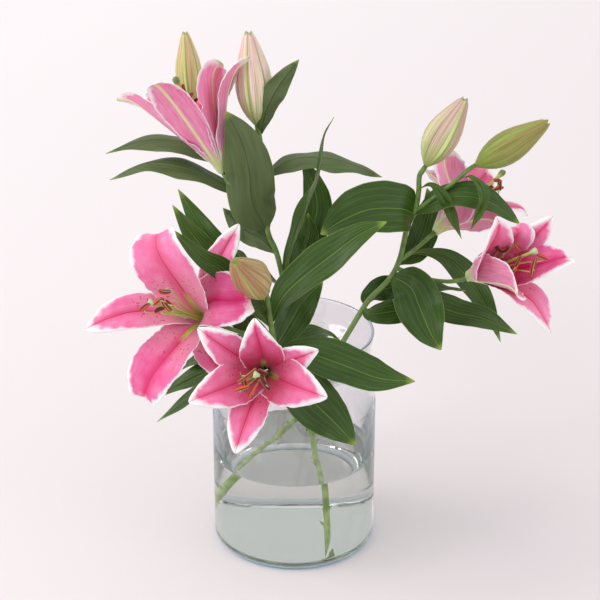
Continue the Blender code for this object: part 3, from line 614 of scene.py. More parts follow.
def lily_leaf_skin(name, upper, vein, dull, gloss):
    """Leaf skin: wax over green flesh, with parallel veins that shut together at the tip."""
    made, tree = empty_material(name)
    across, along, seed = pattern_of(tree, "blade")
    half_width, length, _ = pattern_of(tree, "sizes")
    across_mm = node(tree, "Math", (across, half_width), operation="MULTIPLY")
    along_mm = node(tree, "Math", (along, length), operation="MULTIPLY")
    along_short = node(tree, "Math", (along_mm, 0.12), operation="MULTIPLY")
    grain_at = node(tree, "CombineXYZ", {"X": across_mm, "Y": along_short, "Z": seed})
    grain = node(tree, "TexNoise", {"Vector": grain_at, "Scale": 0.9, "Detail": 3.0})
    broad = node(tree, "TexNoise", {"Vector": grain_at, "Scale": 0.16, "Detail": 2.0})
    shade = node(tree, "MapRange", (broad, 0.3, 0.7))
    body = node(tree, "Mix", (shade, upper, dull), data_type="RGBA")
    wander = node(tree, "TexNoise", {"Vector": node(tree, "CombineXYZ", {"X": along, "Y": seed}),
                                     "Scale": 3.0})
    sway = node(tree, "MapRange", (wander, 0, 1, -0.06, 0.06))
    swayed = node(tree, "Math", (across, sway), operation="ADD")
    lines = []
    for spacing, width, strength in ((VEIN_SPACING, 0.38, 0.42), (VEIN_SPACING / 5, 0.2, 0.1)):
        steps = node(tree, "Math", (swayed, 1 / spacing), operation="MULTIPLY")
        band = node(tree, "Math", (steps, 0.5), operation="PINGPONG")
        from_vein = node(tree, "Math", (band, half_width), operation="MULTIPLY")
        vein_mm = node(tree, "Math", (from_vein, spacing), operation="MULTIPLY")
        lines.append(node(tree, "MapRange", (vein_mm, width, width / 5, 0, strength),
                          interpolation_type="SMOOTHSTEP"))
    line = node(tree, "Math", (lines[0], lines[1]), operation="MAXIMUM")
    veined = node(tree, "Mix", (line, body, vein), data_type="RGBA")
    middle = node(tree, "Math", (across_mm,), operation="ABSOLUTE")
    rib = node(tree, "MapRange", (middle, 0.7, 0.25, 0, 0.8), interpolation_type="SMOOTHSTEP")
    ribbed = node(tree, "Mix", (rib, veined, vein), data_type="RGBA")
    tip = node(tree, "MapRange", (along, 0.93, 1.0, 0, 0.8))
    tipped = node(tree, "Mix", (tip, ribbed, "#9DB048"), data_type="RGBA")
    edge = node(tree, "Math", (across,), operation="ABSOLUTE")
    rimmed = node(tree, "MapRange", (edge, 0.965, 1.0, 0, 0.5))
    colour = node(tree, "Mix", (rimmed, tipped, "#8FAA55"), data_type="RGBA")
    groove = node(tree, "Math", (line, grain), operation="SUBTRACT")
    sunk = node(tree, "Math", (groove, rib), operation="ADD")
    relief = node(tree, "Bump", {"Height": sunk, "Strength": 0.35, "Distance": 0.25 * MM}, invert=True)
    worn = node(tree, "MapRange", (grain, 0, 1, gloss - 0.06, gloss + 0.1))
    shader = node(tree, "BsdfPrincipled", {
        "Base Color": colour, "Roughness": worn, "IOR": 1.37, "Subsurface Weight": 0.08,
        "Subsurface Radius": (0.6, 1.0, 0.3), "Subsurface Scale": 0.002, "Normal": relief})
    node(tree, "OutputMaterial", {"Surface": shader})
    return made


def leaf_sheet(leaf, seed):
    """One leaf: cupped and waved, folded along its midrib, with shallow pleats between its veins."""
    facing = Vector(leaf.facing).normalized()

    def crosswise(run, at):
        turn = Matrix.Rotation(math.radians(leaf.twist) * at, 3, run)
        return turn @ run.cross(facing)

    def ripple(at, side):
        wave = LEAF_WAVE * math.sin(math.pi * at) * abs(side)
        fold = -LEAF_FOLD * math.exp(-(side / FOLD_WIDTH) ** 2) * math.sin(math.pi * at)
        pleat = -PLEAT_DEPTH * abs(math.cos(math.pi * side / VEIN_SPACING)) ** 4 * math.sin(math.pi * at)
        uneven = noise.noise(Vector((3 * at, 1.3 * side, seed))) * LEAF_WAVE * math.sin(math.pi * at)
        return wave * math.sin(5.5 * math.pi * at + 1.7 * side + seed) + fold + pleat + uneven

    return blade([seen(point) for point in leaf.spine], leaf.width * MM, crosswise,
                 LEAF_OUTLINES[leaf.shape], lambda at: LEAF_CUP, ripple, LEAF_ROWS,
                 LEAF_COLUMNS, seed)


leaf_top = lily_leaf_skin("lily_leaf_upper_skin", "#2B4511", "#6C8A36", "#39561D", 0.36)
leaf_back = lily_leaf_skin("lily_leaf_under_skin", "#52633A", "#3C4C26", "#616F47", 0.5)
for number, leaves in LEAVES.items():
    grown = [leaf_sheet(leaf, 3.0 * place) for place, leaf in enumerate(leaves.values())]
    piece = show(f"leaves_{number}", sheets(f"leaves_{number}", grown), [leaf_top, leaf_back],
                 f"leafy_stem_{number}")
    thicken(piece, LEAF_THICKNESS, 0.5)

# The blooms
# Open oriental lilies, each of six tepals: three broad inner ones with frilled edges, and three narrower
# outer ones behind them. Thin soft petal flesh, pink with a crimson midrib, white margins and raised spots.
# A tepal's width, the lift of its crest, its bow to one side and the curl of its tip are in mm, and its twist
# is in degrees. Its cup is how far its edges rise as a share of half its width, and deep makes its pink
# deeper and darker, or paler below 0: where it darkens a tepal, that is partly the tepal's own deeper pink
# and partly painted shade. A bloom's throat opens wider by its flare in mm, and is pale by a share, partly
# the throat's own paler colour and partly painted light that brightens a throat lying in shade. An
# anther's points run from its one end to its other.
Tepal = namedtuple("Tepal", "tip width lift bow twist curl blunt cup deep",
                   defaults=(0, 0, 0, False, 0.3, 0))
Bloom = namedtuple("Bloom", "foot stigma pale flare pedicel anthers tepals")
BLOOMS = {
    1: {
        "bloom_1": Bloom(
            foot=(223.4, 173, 52), stigma=(175.4, 78.7, 60), pale=0.2, flare=8,
            pedicel=((265, 215, 64), (250, 200, 58)),
            anthers=(((183, 84, 66), (183.5, 94, 66)), ((180, 97, 60), (187, 92, 58)),
                     ((187, 98, 62), (192, 107, 62)), ((186, 99, 72), (193, 93, 74)),
                     ((178, 98, 80), (186, 103, 82)), ((190, 102, 82), (198, 98, 84))),
            tepals=(
                Tepal((117, 100, 84), 50, 0, bow=8, twist=75, cup=0.5),
                Tepal((151, 85.5, -22), 40, 4, cup=0.15, deep=-0.7),
                Tepal((221.5, 62.5, 58), 54, 4, twist=-45, blunt=True, cup=0.2, deep=-0.7),
                Tepal((249.8, 57, 62), 42, 0, twist=-40, deep=-0.3), Tepal((205, 98, 118), 50, 20),
                Tepal((142, 96, 116), 36, 14))),
    },
    2: {
        "bloom_2": Bloom(
            foot=(211, 322, -80), stigma=(150, 302.5, -150), pale=0.6, flare=0,
            pedicel=((270, 333, -81), (245, 333, -78)),
            anthers=(((158.5, 290.5, -140), (170.5, 291.5, -136)),
                     ((162, 298.5, -146), (171.5, 311, -146)), ((153.5, 305, -152), (162.5, 298, -148)),
                     ((140.5, 311, -156), (150, 304, -152)), ((155, 312.5, -152), (164.5, 308.5, -150)),
                     ((166, 300, -132), (174, 306, -130))),
            tepals=(
                Tepal((156, 232, -95), 66, 14, bow=-6, curl=5, blunt=True),
                Tepal((86, 329, -112), 38, 14, bow=-9),
                Tepal((143, 398, -150), 60, 14, bow=7, curl=4, blunt=True, deep=0.65),
                Tepal((226, 384, -112), 36, 18, deep=0.3),
                Tepal((249, 298, -124), 58, 12, bow=7, curl=3, blunt=True, deep=0.85),
                Tepal((239, 224, -56), 30, 10, twist=40))),
        "bloom_3": Bloom(
            foot=(266, 371, -102), stigma=(256, 375, -190), pale=0.05, flare=0.6,
            pedicel=((273, 348, -80),),
            anthers=(((237.5, 382.5, -180), (256, 368.5, -184)), ((240, 372, -176), (245.5, 392, -182)),
                     ((235.5, 391, -182), (250, 386.5, -186)), ((248.5, 397.5, -190), (258, 382, -192)),
                     ((260.5, 377, -190), (269, 390, -184)), ((259, 369.5, -184), (267.5, 373.5, -178))),
            tepals=(
                Tepal((254.4, 318.3, -165), 45.5, 8, bow=-3, deep=0.6),
                Tepal((318.5, 350, -158), 32, 8, twist=20), Tepal((327.3, 397.5, -188), 50, 8),
                Tepal((235, 453.5, -190), 38, 8), Tepal((188.6, 402, -178), 46, 8),
                Tepal((197.8, 328, -145), 36, 8))),
    },
    3: {
        "bloom_4": Bloom(
            foot=(434, 233, 80), stigma=(503.7, 172, 138), pale=0.3, flare=8,
            pedicel=((401, 260, 61), (418, 247, 66)),
            anthers=(((494, 181, 128), (501, 181, 130)), ((501, 180, 128), (500, 190, 126)),
                     ((492, 191.5, 124), (503.5, 187.5, 128)), ((484, 192, 130), (492, 198, 132)),
                     ((488, 186, 136), (494, 190, 140)), ((482, 186, 122), (490, 190, 120))),
            tepals=(
                Tepal((446, 148, 96), 58, -30, bow=18, blunt=True, deep=-0.3),
                Tepal((488, 168, 156), 58, -6, blunt=True),
                Tepal((527, 216, 112), 50, 14, bow=6, twist=50), Tepal((506, 231, 62), 54, 14),
                Tepal((480, 200, 166), 36, 20), Tepal((424, 170, 140), 36, 10))),
        "bloom_5": Bloom(
            foot=(467, 278, 38), stigma=(535.5, 251, -23), pale=0.15, flare=12,
            pedicel=((396, 268, 59), (424, 278, 52), (446, 281.5, 45)),
            anthers=(((511, 276.5, -18), (521, 255.5, -16)), ((531.5, 276, -28), (536, 257, -26)),
                     ((537, 255, -22), (547.5, 259.5, -20)), ((515, 243.5, -2), (521, 250, 0)),
                     ((508.5, 247, 2), (503, 251, 2), (497, 247, 2), (498, 240.5, 2), (504, 239, 2),
                      (508, 242, 2)),
                     ((500, 262, 10), (506, 266, 8))),
            tepals=(
                Tepal((496.5, 216.5, -8), 50, 0, bow=8, twist=-50, cup=0.6),
                Tepal((517, 225, 12), 45.5, 8, twist=-20, curl=5, blunt=True),
                Tepal((553, 216, 28), 34, 0, bow=-3),
                Tepal((571, 258, 0), 46, 6, bow=-3, twist=-40, blunt=True, deep=0.75),
                Tepal((550.5, 332.5, -22), 40, 8, bow=8, deep=-0.6),
                Tepal((517, 296, -62), 62, -12, twist=-40, cup=0.5))),
    },
}
# How wide a tepal is, as a share of its widest, at places from its root to its tip.
INNER_OUTLINE = ((0, 0.2), (0.1, 0.3), (0.2, 0.52), (0.32, 0.8), (0.44, 0.96), (0.54, 1), (0.66, 0.94),
                 (0.78, 0.76), (0.88, 0.5), (0.95, 0.27), (0.985, 0.13), (1, 0.04))
BLUNT_OUTLINE = ((0, 0.18), (0.1, 0.26), (0.2, 0.46), (0.32, 0.7), (0.44, 0.88), (0.56, 0.97), (0.68, 1),
                 (0.8, 0.95), (0.88, 0.83), (0.94, 0.65), (0.98, 0.42), (1, 0.14))
OUTER_OUTLINE = ((0, 0.22), (0.1, 0.3), (0.2, 0.48), (0.32, 0.72), (0.45, 0.92), (0.56, 1), (0.68, 0.98),
                 (0.8, 0.8), (0.88, 0.58), (0.94, 0.36), (0.98, 0.18), (1, 0.05))
BROAD_TEPAL = 45
TEPAL_THICKNESS = 1.1 * MM
THROAT_CUP = 0.5
THROAT_SHARE = 0.4
EDGE_ROLL = 5 * MM
FURROW_DEPTH = 2.2 * MM
FURROW_WIDTH = 0.13
EDGE_FRAY = 0.05
TEPAL_WAVE = 1.3 * MM
TEPAL_FRILL = 1.3 * MM
TEPAL_ROOT_DEPTH = 1 * MM
INNER_ROOT_RADIUS = 2.6 * MM
OUTER_ROOT_RADIUS = 3.3 * MM
INNER_THROAT_RADIUS = 6.5 * MM
OUTER_THROAT_RADIUS = 12 * MM
TUBE_LENGTH = 44 * MM
TEPAL_CREST_SHARE = 0.55
TEPAL_ROWS, TEPAL_COLUMNS = 80, 36
TEPAL_SPINE_STEPS = 8
CURL_TURNS = (0.6, 1.2, 1.8, 2.4)


def standing(foot, top):
    """Where a flower's foot and top are, and the way that it points."""
    foot, top = seen(foot), seen(top)
    return foot, top, (top - foot).normalized()


def petal_places(tree):
    """The pattern places of a petal.

    These are the shares across and along, the millimetres from the midrib and from the nearest edge or
    the tip, a vector of millimetres across and along with the petal's own seed, how pale its throat is and
    how deep its pink.
    """
    across, along, seed = pattern_of(tree, "blade")
    sizes = node(tree, "Attribute", attribute_name="sizes")
    half_width, length, pale = node(tree, "SeparateXYZ", {"Vector": sizes.outputs["Vector"]}).outputs
    deep = sizes.outputs["Alpha"]
    across_mm = node(tree, "Math", (across, half_width), operation="MULTIPLY")
    along_mm = node(tree, "Math", (along, length), operation="MULTIPLY")
    flat = node(tree, "CombineXYZ", (across_mm, along_mm, seed))
    middle = node(tree, "Math", (across_mm,), operation="ABSOLUTE")
    to_side = node(tree, "Math", (half_width, middle), operation="SUBTRACT")
    to_tip = node(tree, "Math", (length, along_mm), operation="SUBTRACT")
    to_edge = node(tree, "Math", (to_side, to_tip, 2.0), operation="SMOOTH_MIN")
    return across, along, middle, to_edge, flat, pale, deep


def white_margin(tree, along, to_edge, flat, thinnest, along_sides, at_tip):
    """How far a place lies in the feathered white margin, thin along the sides and wide at the tip."""
    wander = node(tree, "TexNoise", {"Vector": flat, "Scale": 0.12, "Detail": 3.0})
    feather = node(tree, "MapRange", (wander, 0.3, 0.7, thinnest, 1.5))
    reach = node(tree, "MapRange", (along, 0.58, 1.0, along_sides, at_tip), interpolation_type="SMOOTHSTEP")
    width = node(tree, "Math", (reach, feather), operation="MULTIPLY")
    from_rim = node(tree, "Math", (to_edge, width), operation="DIVIDE")
    return node(tree, "MapRange", (from_rim, 1.5, 0.15), interpolation_type="SMOOTHSTEP")


def lily_petal_face():
    """The inner face of a tepal: velvety pink with a crimson midrib, raised spots and a white frill."""
    made, tree = empty_material("lily_petal_inner_face")
    across, along, middle, to_edge, flat, pale, deep = petal_places(tree)
    edge = node(tree, "Math", (across,), operation="ABSOLUTE")
    drawn = node(tree, "VectorMath", (flat, (1.0, 0.08, 1.0)), operation="MULTIPLY")
    veins = node(tree, "TexNoise", {"Vector": drawn, "Scale": 0.8, "Detail": 4.0, "Roughness": 0.65})
    blotch = node(tree, "TexNoise", {"Vector": flat, "Scale": 0.07, "Detail": 2.0})
    light = node(tree, "MapRange", (blotch, 0.3, 0.7))
    pink = node(tree, "Mix", (light, "#E96C9E", "#EF8EB8"), data_type="RGBA")
    streak = node(tree, "MapRange", (veins, 0.42, 0.7, 0, 0.45))
    streaked = node(tree, "Mix", (streak, pink, "#E0588C"), data_type="RGBA")
    # Painted light: a higher pale lifts the throat towards pale pink, partly its own colour and partly light
    # painted into a throat in shade.
    pale_reach = node(tree, "MapRange", (pale, 0, 1, 0.8, 0.64))
    depth = node(tree, "MapRange", (along, pale_reach, 0.4, 0, 0.85), interpolation_type="SMOOTHSTEP")
    throat_colour = node(tree, "Mix", (pale, "#C62A5A", "#EFB4CA"), data_type="RGBA")
    throated = node(tree, "Mix", (depth, streaked, throat_colour), data_type="RGBA")
    glow = node(tree, "MapRange", (edge, 0.42, 0.0, 0, 0.75), interpolation_type="SMOOTHSTEP")
    rose = node(tree, "Mix", (glow, throated, "#DC4479"), data_type="RGBA")
    # Painted shade: a positive deep also darkens the tepal, besides deepening its own pink.
    value = node(tree, "MapRange", (deep, -1.0, 1, 1.2, 0.8))
    richness = node(tree, "MapRange", (deep, -1.0, 1, 0.85, 1.15))
    toned = node(tree, "HueSaturation", {"Color": rose, "Value": value, "Saturation": richness})
    margin = white_margin(tree, along, to_edge, flat, 0.55, 1.0, 6.8)
    frilled = node(tree, "Mix", (margin, toned, "#F7F1F2"), data_type="RGBA")
    rib_width = node(tree, "MapRange", (along, 0.2, 0.95, 1.0, 0.35))
    rib_share = node(tree, "Math", (middle, rib_width), operation="DIVIDE")
    rib = node(tree, "MapRange", (rib_share, 1.15, 0.35, 0, 0.9), interpolation_type="SMOOTHSTEP")
    ribbed = node(tree, "Mix", (rib, frilled, "#B01645"), data_type="RGBA")
    cells = node(tree, "TexVoronoi", {"Vector": flat, "Scale": 0.33, "Randomness": 1.0})
    chosen = node(tree, "SeparateXYZ", {"Vector": cells.outputs["Color"]})
    kept = node(tree, "Math", (chosen.outputs["X"], 0.35), operation="GREATER_THAN")
    dot = node(tree, "MapRange", (cells.outputs["Distance"], 0.3, 0.18), interpolation_type="SMOOTHSTEP")
    low_band = node(tree, "MapRange", (along, 0.64, 0.56))
    high_band = node(tree, "MapRange", (along, 0.3, 0.38))
    off_rib = node(tree, "MapRange", (middle, 2.5, 4.0))
    off_edge = node(tree, "MapRange", (edge, 0.85, 0.7))
    spot = node(tree, "Math", (dot, kept), operation="MULTIPLY")
    for band in (low_band, high_band, off_rib, off_edge):
        spot = node(tree, "Math", (spot, band), operation="MULTIPLY")
    spotted = node(tree, "Mix", (spot, ribbed, "#9C0F3C"), data_type="RGBA")
    furrow = node(tree, "MapRange", (along, 0.42, 0.3))
    narrow = node(tree, "MapRange", (middle, 3.6, 2.0))
    nectar = node(tree, "Math", (furrow, narrow), operation="MULTIPLY")
    colour = node(tree, "Mix", (nectar, spotted, "#B6CF4C"), data_type="RGBA")
    height = node(tree, "Math", (veins, rib), operation="SUBTRACT")
    raised = node(tree, "Math", (height, spot), operation="ADD")
    relief = node(tree, "Bump", {"Height": raised, "Strength": 0.4, "Distance": 0.35 * MM})
    shader = node(tree, "BsdfPrincipled", {
        "Base Color": colour, "Roughness": 0.55, "IOR": 1.4, "Subsurface Weight": 0.3,
        "Subsurface Radius": (1.0, 0.45, 0.5), "Subsurface Scale": 0.004, "Sheen Weight": 0.15,
        "Sheen Roughness": 0.5, "Normal": relief})
    node(tree, "OutputMaterial", {"Surface": shader})
    return made


def lily_petal_back():
    """The outer face of a tepal: paler and more silky, with a cream keel and a green foot and tip."""
    made, tree = empty_material("lily_petal_outer_face")
    _, along, middle, to_edge, flat, _, deep = petal_places(tree)
    drawn = node(tree, "VectorMath", (flat, (1.0, 0.06, 1.0)), operation="MULTIPLY")
    veins = node(tree, "TexNoise", {"Vector": drawn, "Scale": 0.7, "Detail": 4.0, "Roughness": 0.65})
    mixed = node(tree, "MapRange", (veins, 0.3, 0.7))
    pink = node(tree, "Mix", (mixed, "#D2668F", "#E79CBE"), data_type="RGBA")
    margin = white_margin(tree, along, to_edge, flat, 0.5, 1.1, 7.2)
    # Painted shade: a positive deep also darkens the back of the tepal.
    value = node(tree, "MapRange", (deep, -1.0, 1, 1.2, 0.8))
    toned = node(tree, "HueSaturation", {"Color": pink, "Value": value})
    frilled = node(tree, "Mix", (margin, toned, "#F3ECEE"), data_type="RGBA")
    keel = node(tree, "MapRange", (middle, 1.9, 0.6), interpolation_type="SMOOTHSTEP")
    keeled = node(tree, "Mix", (keel, frilled, "#D8DFA6"), data_type="RGBA")
    foot = node(tree, "MapRange", (along, 0.27, 0.04, 0, 0.95), interpolation_type="SMOOTHSTEP")
    footed = node(tree, "Mix", (foot, keeled, "#C4D088"), data_type="RGBA")
    tip = node(tree, "MapRange", (along, 0.965, 1.0))
    colour = node(tree, "Mix", (tip, footed, "#9DB851"), data_type="RGBA")
    height = node(tree, "Math", (veins, keel), operation="ADD")
    relief = node(tree, "Bump", {"Height": height, "Strength": 0.4, "Distance": 0.35 * MM})
    shader = node(tree, "BsdfPrincipled", {
        "Base Color": colour, "Roughness": 0.5, "IOR": 1.4, "Subsurface Weight": 0.3,
        "Subsurface Radius": (1.0, 0.5, 0.55), "Subsurface Scale": 0.004, "Sheen Weight": 0.15,
        "Sheen Roughness": 0.5, "Normal": relief})
    node(tree, "OutputMaterial", {"Surface": shader})
    return made


def tepal_sheet(tepal, foot, axis, bloom, seed):
    """One petal: up the throat beside the axis, then outwards to its tip in a rolled-back curve."""
    tip = seen(tepal.tip)
    height = (tip - foot).dot(axis)
    outward = tip - foot - axis * height
    reach = outward.length
    outward.normalize()
    lift = tepal.lift * MM
    inner = tepal.width > BROAD_TEPAL
    root = INNER_ROOT_RADIUS if inner else OUTER_ROOT_RADIUS
    throat = (INNER_THROAT_RADIUS if inner else OUTER_THROAT_RADIUS) + bloom.flare * MM
    across = axis.cross(outward)
    spine = []
    curl = tepal.curl * MM
    ends = ((root, TEPAL_ROOT_DEPTH), (throat, TUBE_LENGTH),
            (reach * TEPAL_CREST_SHARE, height + lift), (reach - curl, height))
    for step in range(TEPAL_SPINE_STEPS + 1):
        at = step / TEPAL_SPINE_STEPS
        weights = ((1 - at) ** 3, 3 * at * (1 - at) ** 2, 3 * at * at * (1 - at), at ** 3)
        away = sum(weight * end[0] for weight, end in zip(weights, ends))
        along = sum(weight * end[1] for weight, end in zip(weights, ends))
        aside = tepal.bow * MM * math.sin(math.pi * at) ** 2
        spine.append(foot + outward * away + axis * along + across * aside)
    ahead = (spine[-1] - spine[-2]).normalized()
    over = across.cross(ahead)
    last = spine[-1]
    if curl:
        for turn in CURL_TURNS:
            spine.append(last + (ahead * math.sin(turn) + over * (1 - math.cos(turn))) * curl)

    def crosswise(run, at):
        return Matrix.Rotation(math.radians(tepal.twist) * at * at, 3, run) @ -across

    def cup(at):
        return tepal.cup + THROAT_CUP * max(0.0, 1 - at / THROAT_SHARE)

    def ripple(at, side):
        out = abs(side)
        swell = math.sin(math.pi * min(1.0, at * 1.02)) ** 0.7
        wave = noise.noise(Vector((7 * at, 0.8 * side, seed + 5))) * 3.4 if inner else math.sin(
            5.5 * math.pi * at + 1.7 * side + seed) * 0.8
        crimp = noise.noise(Vector((30 * at, 2 * side, seed))) * (1.6 if inner else 0.8)
        furrow = -FURROW_DEPTH * math.exp(-(side / FURROW_WIDTH) ** 2) * swell
        rolled = -EDGE_ROLL * out ** 6 * np.interp(at, (0.3, 0.6, 0.9, 1), (0, 1, 0.8, 0))
        waved = TEPAL_WAVE * wave * swell * out * out
        return waved + TEPAL_FRILL * crimp * swell * out ** 4 + furrow + rolled

    outline = BLUNT_OUTLINE if tepal.blunt else INNER_OUTLINE if inner else OUTER_OUTLINE
    return blade(spine, tepal.width * MM, crosswise, outline, cup, ripple, TEPAL_ROWS, TEPAL_COLUMNS, seed,
                 EDGE_FRAY, bloom.pale, tepal.deep)


petal_face, petal_back = lily_petal_face(), lily_petal_back()
for number, blooms in BLOOMS.items():
    for name, bloom in blooms.items():
        foot, stigma, axis = standing(bloom.foot, bloom.stigma)
        grown = [tepal_sheet(tepal, foot, axis, bloom, 2.0 * place + 20 * number)
                 for place, tepal in enumerate(bloom.tepals)]
        piece = show(name, sheets(name, grown), [petal_face, petal_back], name)
        thicken(piece, TEPAL_THICKNESS, 0.3)

# The pistil and stamens
# In each throat a green pistil with a three-lobed stigma, and six thin filaments that each balance a long
# anther across the tip. The anthers are split open and dusty with rust-coloured pollen.
OVARY_RADIUS = 2.6 * MM
STYLE_RADIUS = 1.3 * MM
STIGMA_RADIUS = 3.6 * MM
FILAMENT_RADIUS = 0.8 * MM
ANTHER_RADIUS = 2.4 * MM
FILAMENT_HOOK = 4.5 * MM
STIGMA_HEIGHT = 2.2 * MM
RECEPTACLE_LENGTH = 7 * MM
STYLE_RINGS, FILAMENT_RINGS, ANTHER_RINGS = 44, 34, 26
STYLE_SIDES, FILAMENT_SIDES, ANTHER_SIDES = 30, 10, 24
SLANT_RINGS = 12
# How far the middle of an anther bows inwards, in mm.
ANTHER_BOW = 1.2


def rod(places, radii, sides, section=None, first_side=None, slant=0.0):
    """The vertices, faces and pattern places of a rod along a line, closed at both ends.

    Its pattern places are (degrees round it, millimetres along it, share along it). A section function
    of the turn changes its radius, and its first end is cut at a slant of so many metres.
    """
    places = [Vector(place) for place in places]
    count = len(places)
    run = (places[1] - places[0]).normalized()
    side_way = Vector(first_side) if first_side is not None else run.orthogonal()
    vertices, pattern, faces = [], [], []
    length = 0.0
    for index, place in enumerate(places):
        run = (places[min(index + 1, count - 1)] - places[max(index - 1, 0)]).normalized()
        side_way = (side_way - run * side_way.dot(run)).normalized()
        other_way = run.cross(side_way)
        length += (place - places[max(index - 1, 0)]).length
        for side in range(sides):
            turn = math.tau * side / sides
            reach = radii[index] * (section(turn) if section else 1.0)
            cut_back = run * slant * (1 + math.cos(turn)) / 2 * max(0.0, 1 - index / SLANT_RINGS)
            vertices.append(place + (side_way * math.cos(turn) + other_way * math.sin(turn)) * reach
                            + cut_back)
            pattern.append((math.degrees(turn), length / MM, index / (count - 1)))
    for index in range(count - 1):
        for side in range(sides):
            low, after = index * sides + side, index * sides + (side + 1) % sides
            faces.append((low, after, after + sides, low + sides))
    faces.append(tuple(range(sides))[::-1])
    faces.append(tuple(range((count - 1) * sides, count * sides)))
    return vertices, faces, pattern


def lily_filament_skin(name, stigma):
    """Smooth living flesh, yellow-green, paler towards the anther, and the stigma in its own colour."""
    made, tree = empty_material(name)
    along = pattern_of(tree, "rod")[2]
    grain = node(tree, "TexNoise", {"Vector": node(tree, "TexCoord").outputs["Object"],
                                    "Scale": 1 / (4 * MM), "Detail": 2.0})
    body = node(tree, "Mix", (along, "#A9BF5C", "#BCC970"), data_type="RGBA")
    mottled = node(tree, "Mix", (grain, body, "#BCC564"), data_type="RGBA")
    end = node(tree, "MapRange", (along, 0.9, 0.94))
    colour = node(tree, "Mix", (end, mottled, stigma), data_type="RGBA")
    shader = node(tree, "BsdfPrincipled", {
        "Base Color": colour, "Roughness": 0.4, "IOR": 1.4, "Subsurface Weight": 0.2,
        "Subsurface Scale": 0.002})
    node(tree, "OutputMaterial", {"Surface": shader})
    return made


def lily_pollen():
    """Split anthers: rust-orange pollen faces between maroon walls, partly painted shade, and a tan seam."""
    made, tree = empty_material("lily_pollen")
    degrees = pattern_of(tree, "rod")[0]
    turn = node(tree, "Math", (degrees,), operation="RADIANS")
    facing = node(tree, "Math", (turn,), operation="COSINE")
    seam_share = node(tree, "Math", (facing,), operation="ABSOLUTE")
    dust = node(tree, "TexNoise", {"Vector": node(tree, "TexCoord").outputs["Object"],
                                   "Scale": 1 / (0.6 * MM), "Detail": 2.0})
    grit = node(tree, "MapRange", (dust, 0, 1, -0.2, 0.2))
    uneven = node(tree, "Math", (seam_share, grit), operation="ADD")
    open_face = node(tree, "MapRange", (uneven, 0.66, 0.42))
    # Partly painted shade: the dark maroon on the anther's walls is partly their own colour and partly shade
    # painted in.
    body = node(tree, "Mix", (open_face, "#4E1316", "#CE4A18"), data_type="RGBA")
    seam = node(tree, "MapRange", (facing, 0.93, 0.98))
    colour = node(tree, "Mix", (seam, body, "#D9A868"), data_type="RGBA")
    relief = node(tree, "Bump", {"Height": dust, "Strength": 0.5, "Distance": 0.2 * MM})
    shader = node(tree, "BsdfPrincipled", {
        "Base Color": colour, "Roughness": 0.7, "Sheen Weight": 0.15, "Normal": relief})
    node(tree, "OutputMaterial", {"Surface": shader})
    return made


def pollen_sacs(turn):
    """An anther's section: two fat sacs with a groove between them on either side."""
    return 0.72 + 0.36 * abs(math.sin(turn)) ** 0.7


def three_lobes(turn):
    """A section with three soft lobes, for the ovary, style and stigma."""
    return 1 + 0.2 * math.cos(3 * turn)


def pistil(foot, axis, stigma):
    """The ovary, its long style and the three-lobed stigma on top."""
    start = foot + axis * RECEPTACLE_LENGTH
    length = (stigma - start).length
    line = smooth_curve([start, start + axis * 0.3 * length, start + axis * 0.8 * length,
                         stigma, stigma + axis * STIGMA_HEIGHT], STYLE_RINGS)
    shares = (0, 0.2, 0.34, 0.88, 0.93, 0.965, 0.985, 1)
    sizes = (OVARY_RADIUS, OVARY_RADIUS * 0.8, STYLE_RADIUS, STYLE_RADIUS * 1.15, STIGMA_RADIUS * 0.8,
             STIGMA_RADIUS, STIGMA_RADIUS * 0.85, STIGMA_RADIUS * 0.3)
    radii = np.interp(np.linspace(0, 1, STYLE_RINGS), shares, sizes)
    return rod(line, radii, STYLE_SIDES, three_lobes)


def stamen(foot, axis, ends, turn):
    """A filament that leaves the throat beside the style and hooks over to hold its anther's back."""
    held_places = [seen(end) for end in ends]
    low, high = held_places[0], held_places[-1]
    middle = low.lerp(high, 0.5)
    height = (middle - foot).dot(axis)
    away = middle - foot - axis * height
    held = middle + away.normalized() * ANTHER_RADIUS * 0.6
    root = foot + axis * (RECEPTACLE_LENGTH + MM) + away.normalized() * OVARY_RADIUS
    hook = middle + away.normalized() * FILAMENT_HOOK - axis * FILAMENT_HOOK
    line = smooth_curve([root, foot + axis * 0.45 * height + away * 0.35,
                         foot + axis * 0.75 * height + away * 0.8, hook, held], FILAMENT_RINGS)
    radii = np.linspace(FILAMENT_RADIUS * 1.3, FILAMENT_RADIUS * 0.6, FILAMENT_RINGS)
    along = (high - low).normalized()
    bulge = away.normalized() * -ANTHER_BOW * MM
    if len(ends) == 2:
        held_places[1:1] = [low.lerp(high, 0.3) + bulge, low.lerp(high, 0.7) + bulge]
    bow = smooth_curve(held_places, ANTHER_RINGS)
    plump = [ANTHER_RADIUS * math.sin(math.pi * (0.05 + 0.9 * step / (ANTHER_RINGS - 1))) ** 0.4
             for step in range(ANTHER_RINGS)]
    seam_way = Matrix.Rotation(turn, 3, along) @ (camera_place - middle)
    return rod(line, radii, FILAMENT_SIDES), rod(bow, plump, ANTHER_SIDES, pollen_sacs, seam_way)


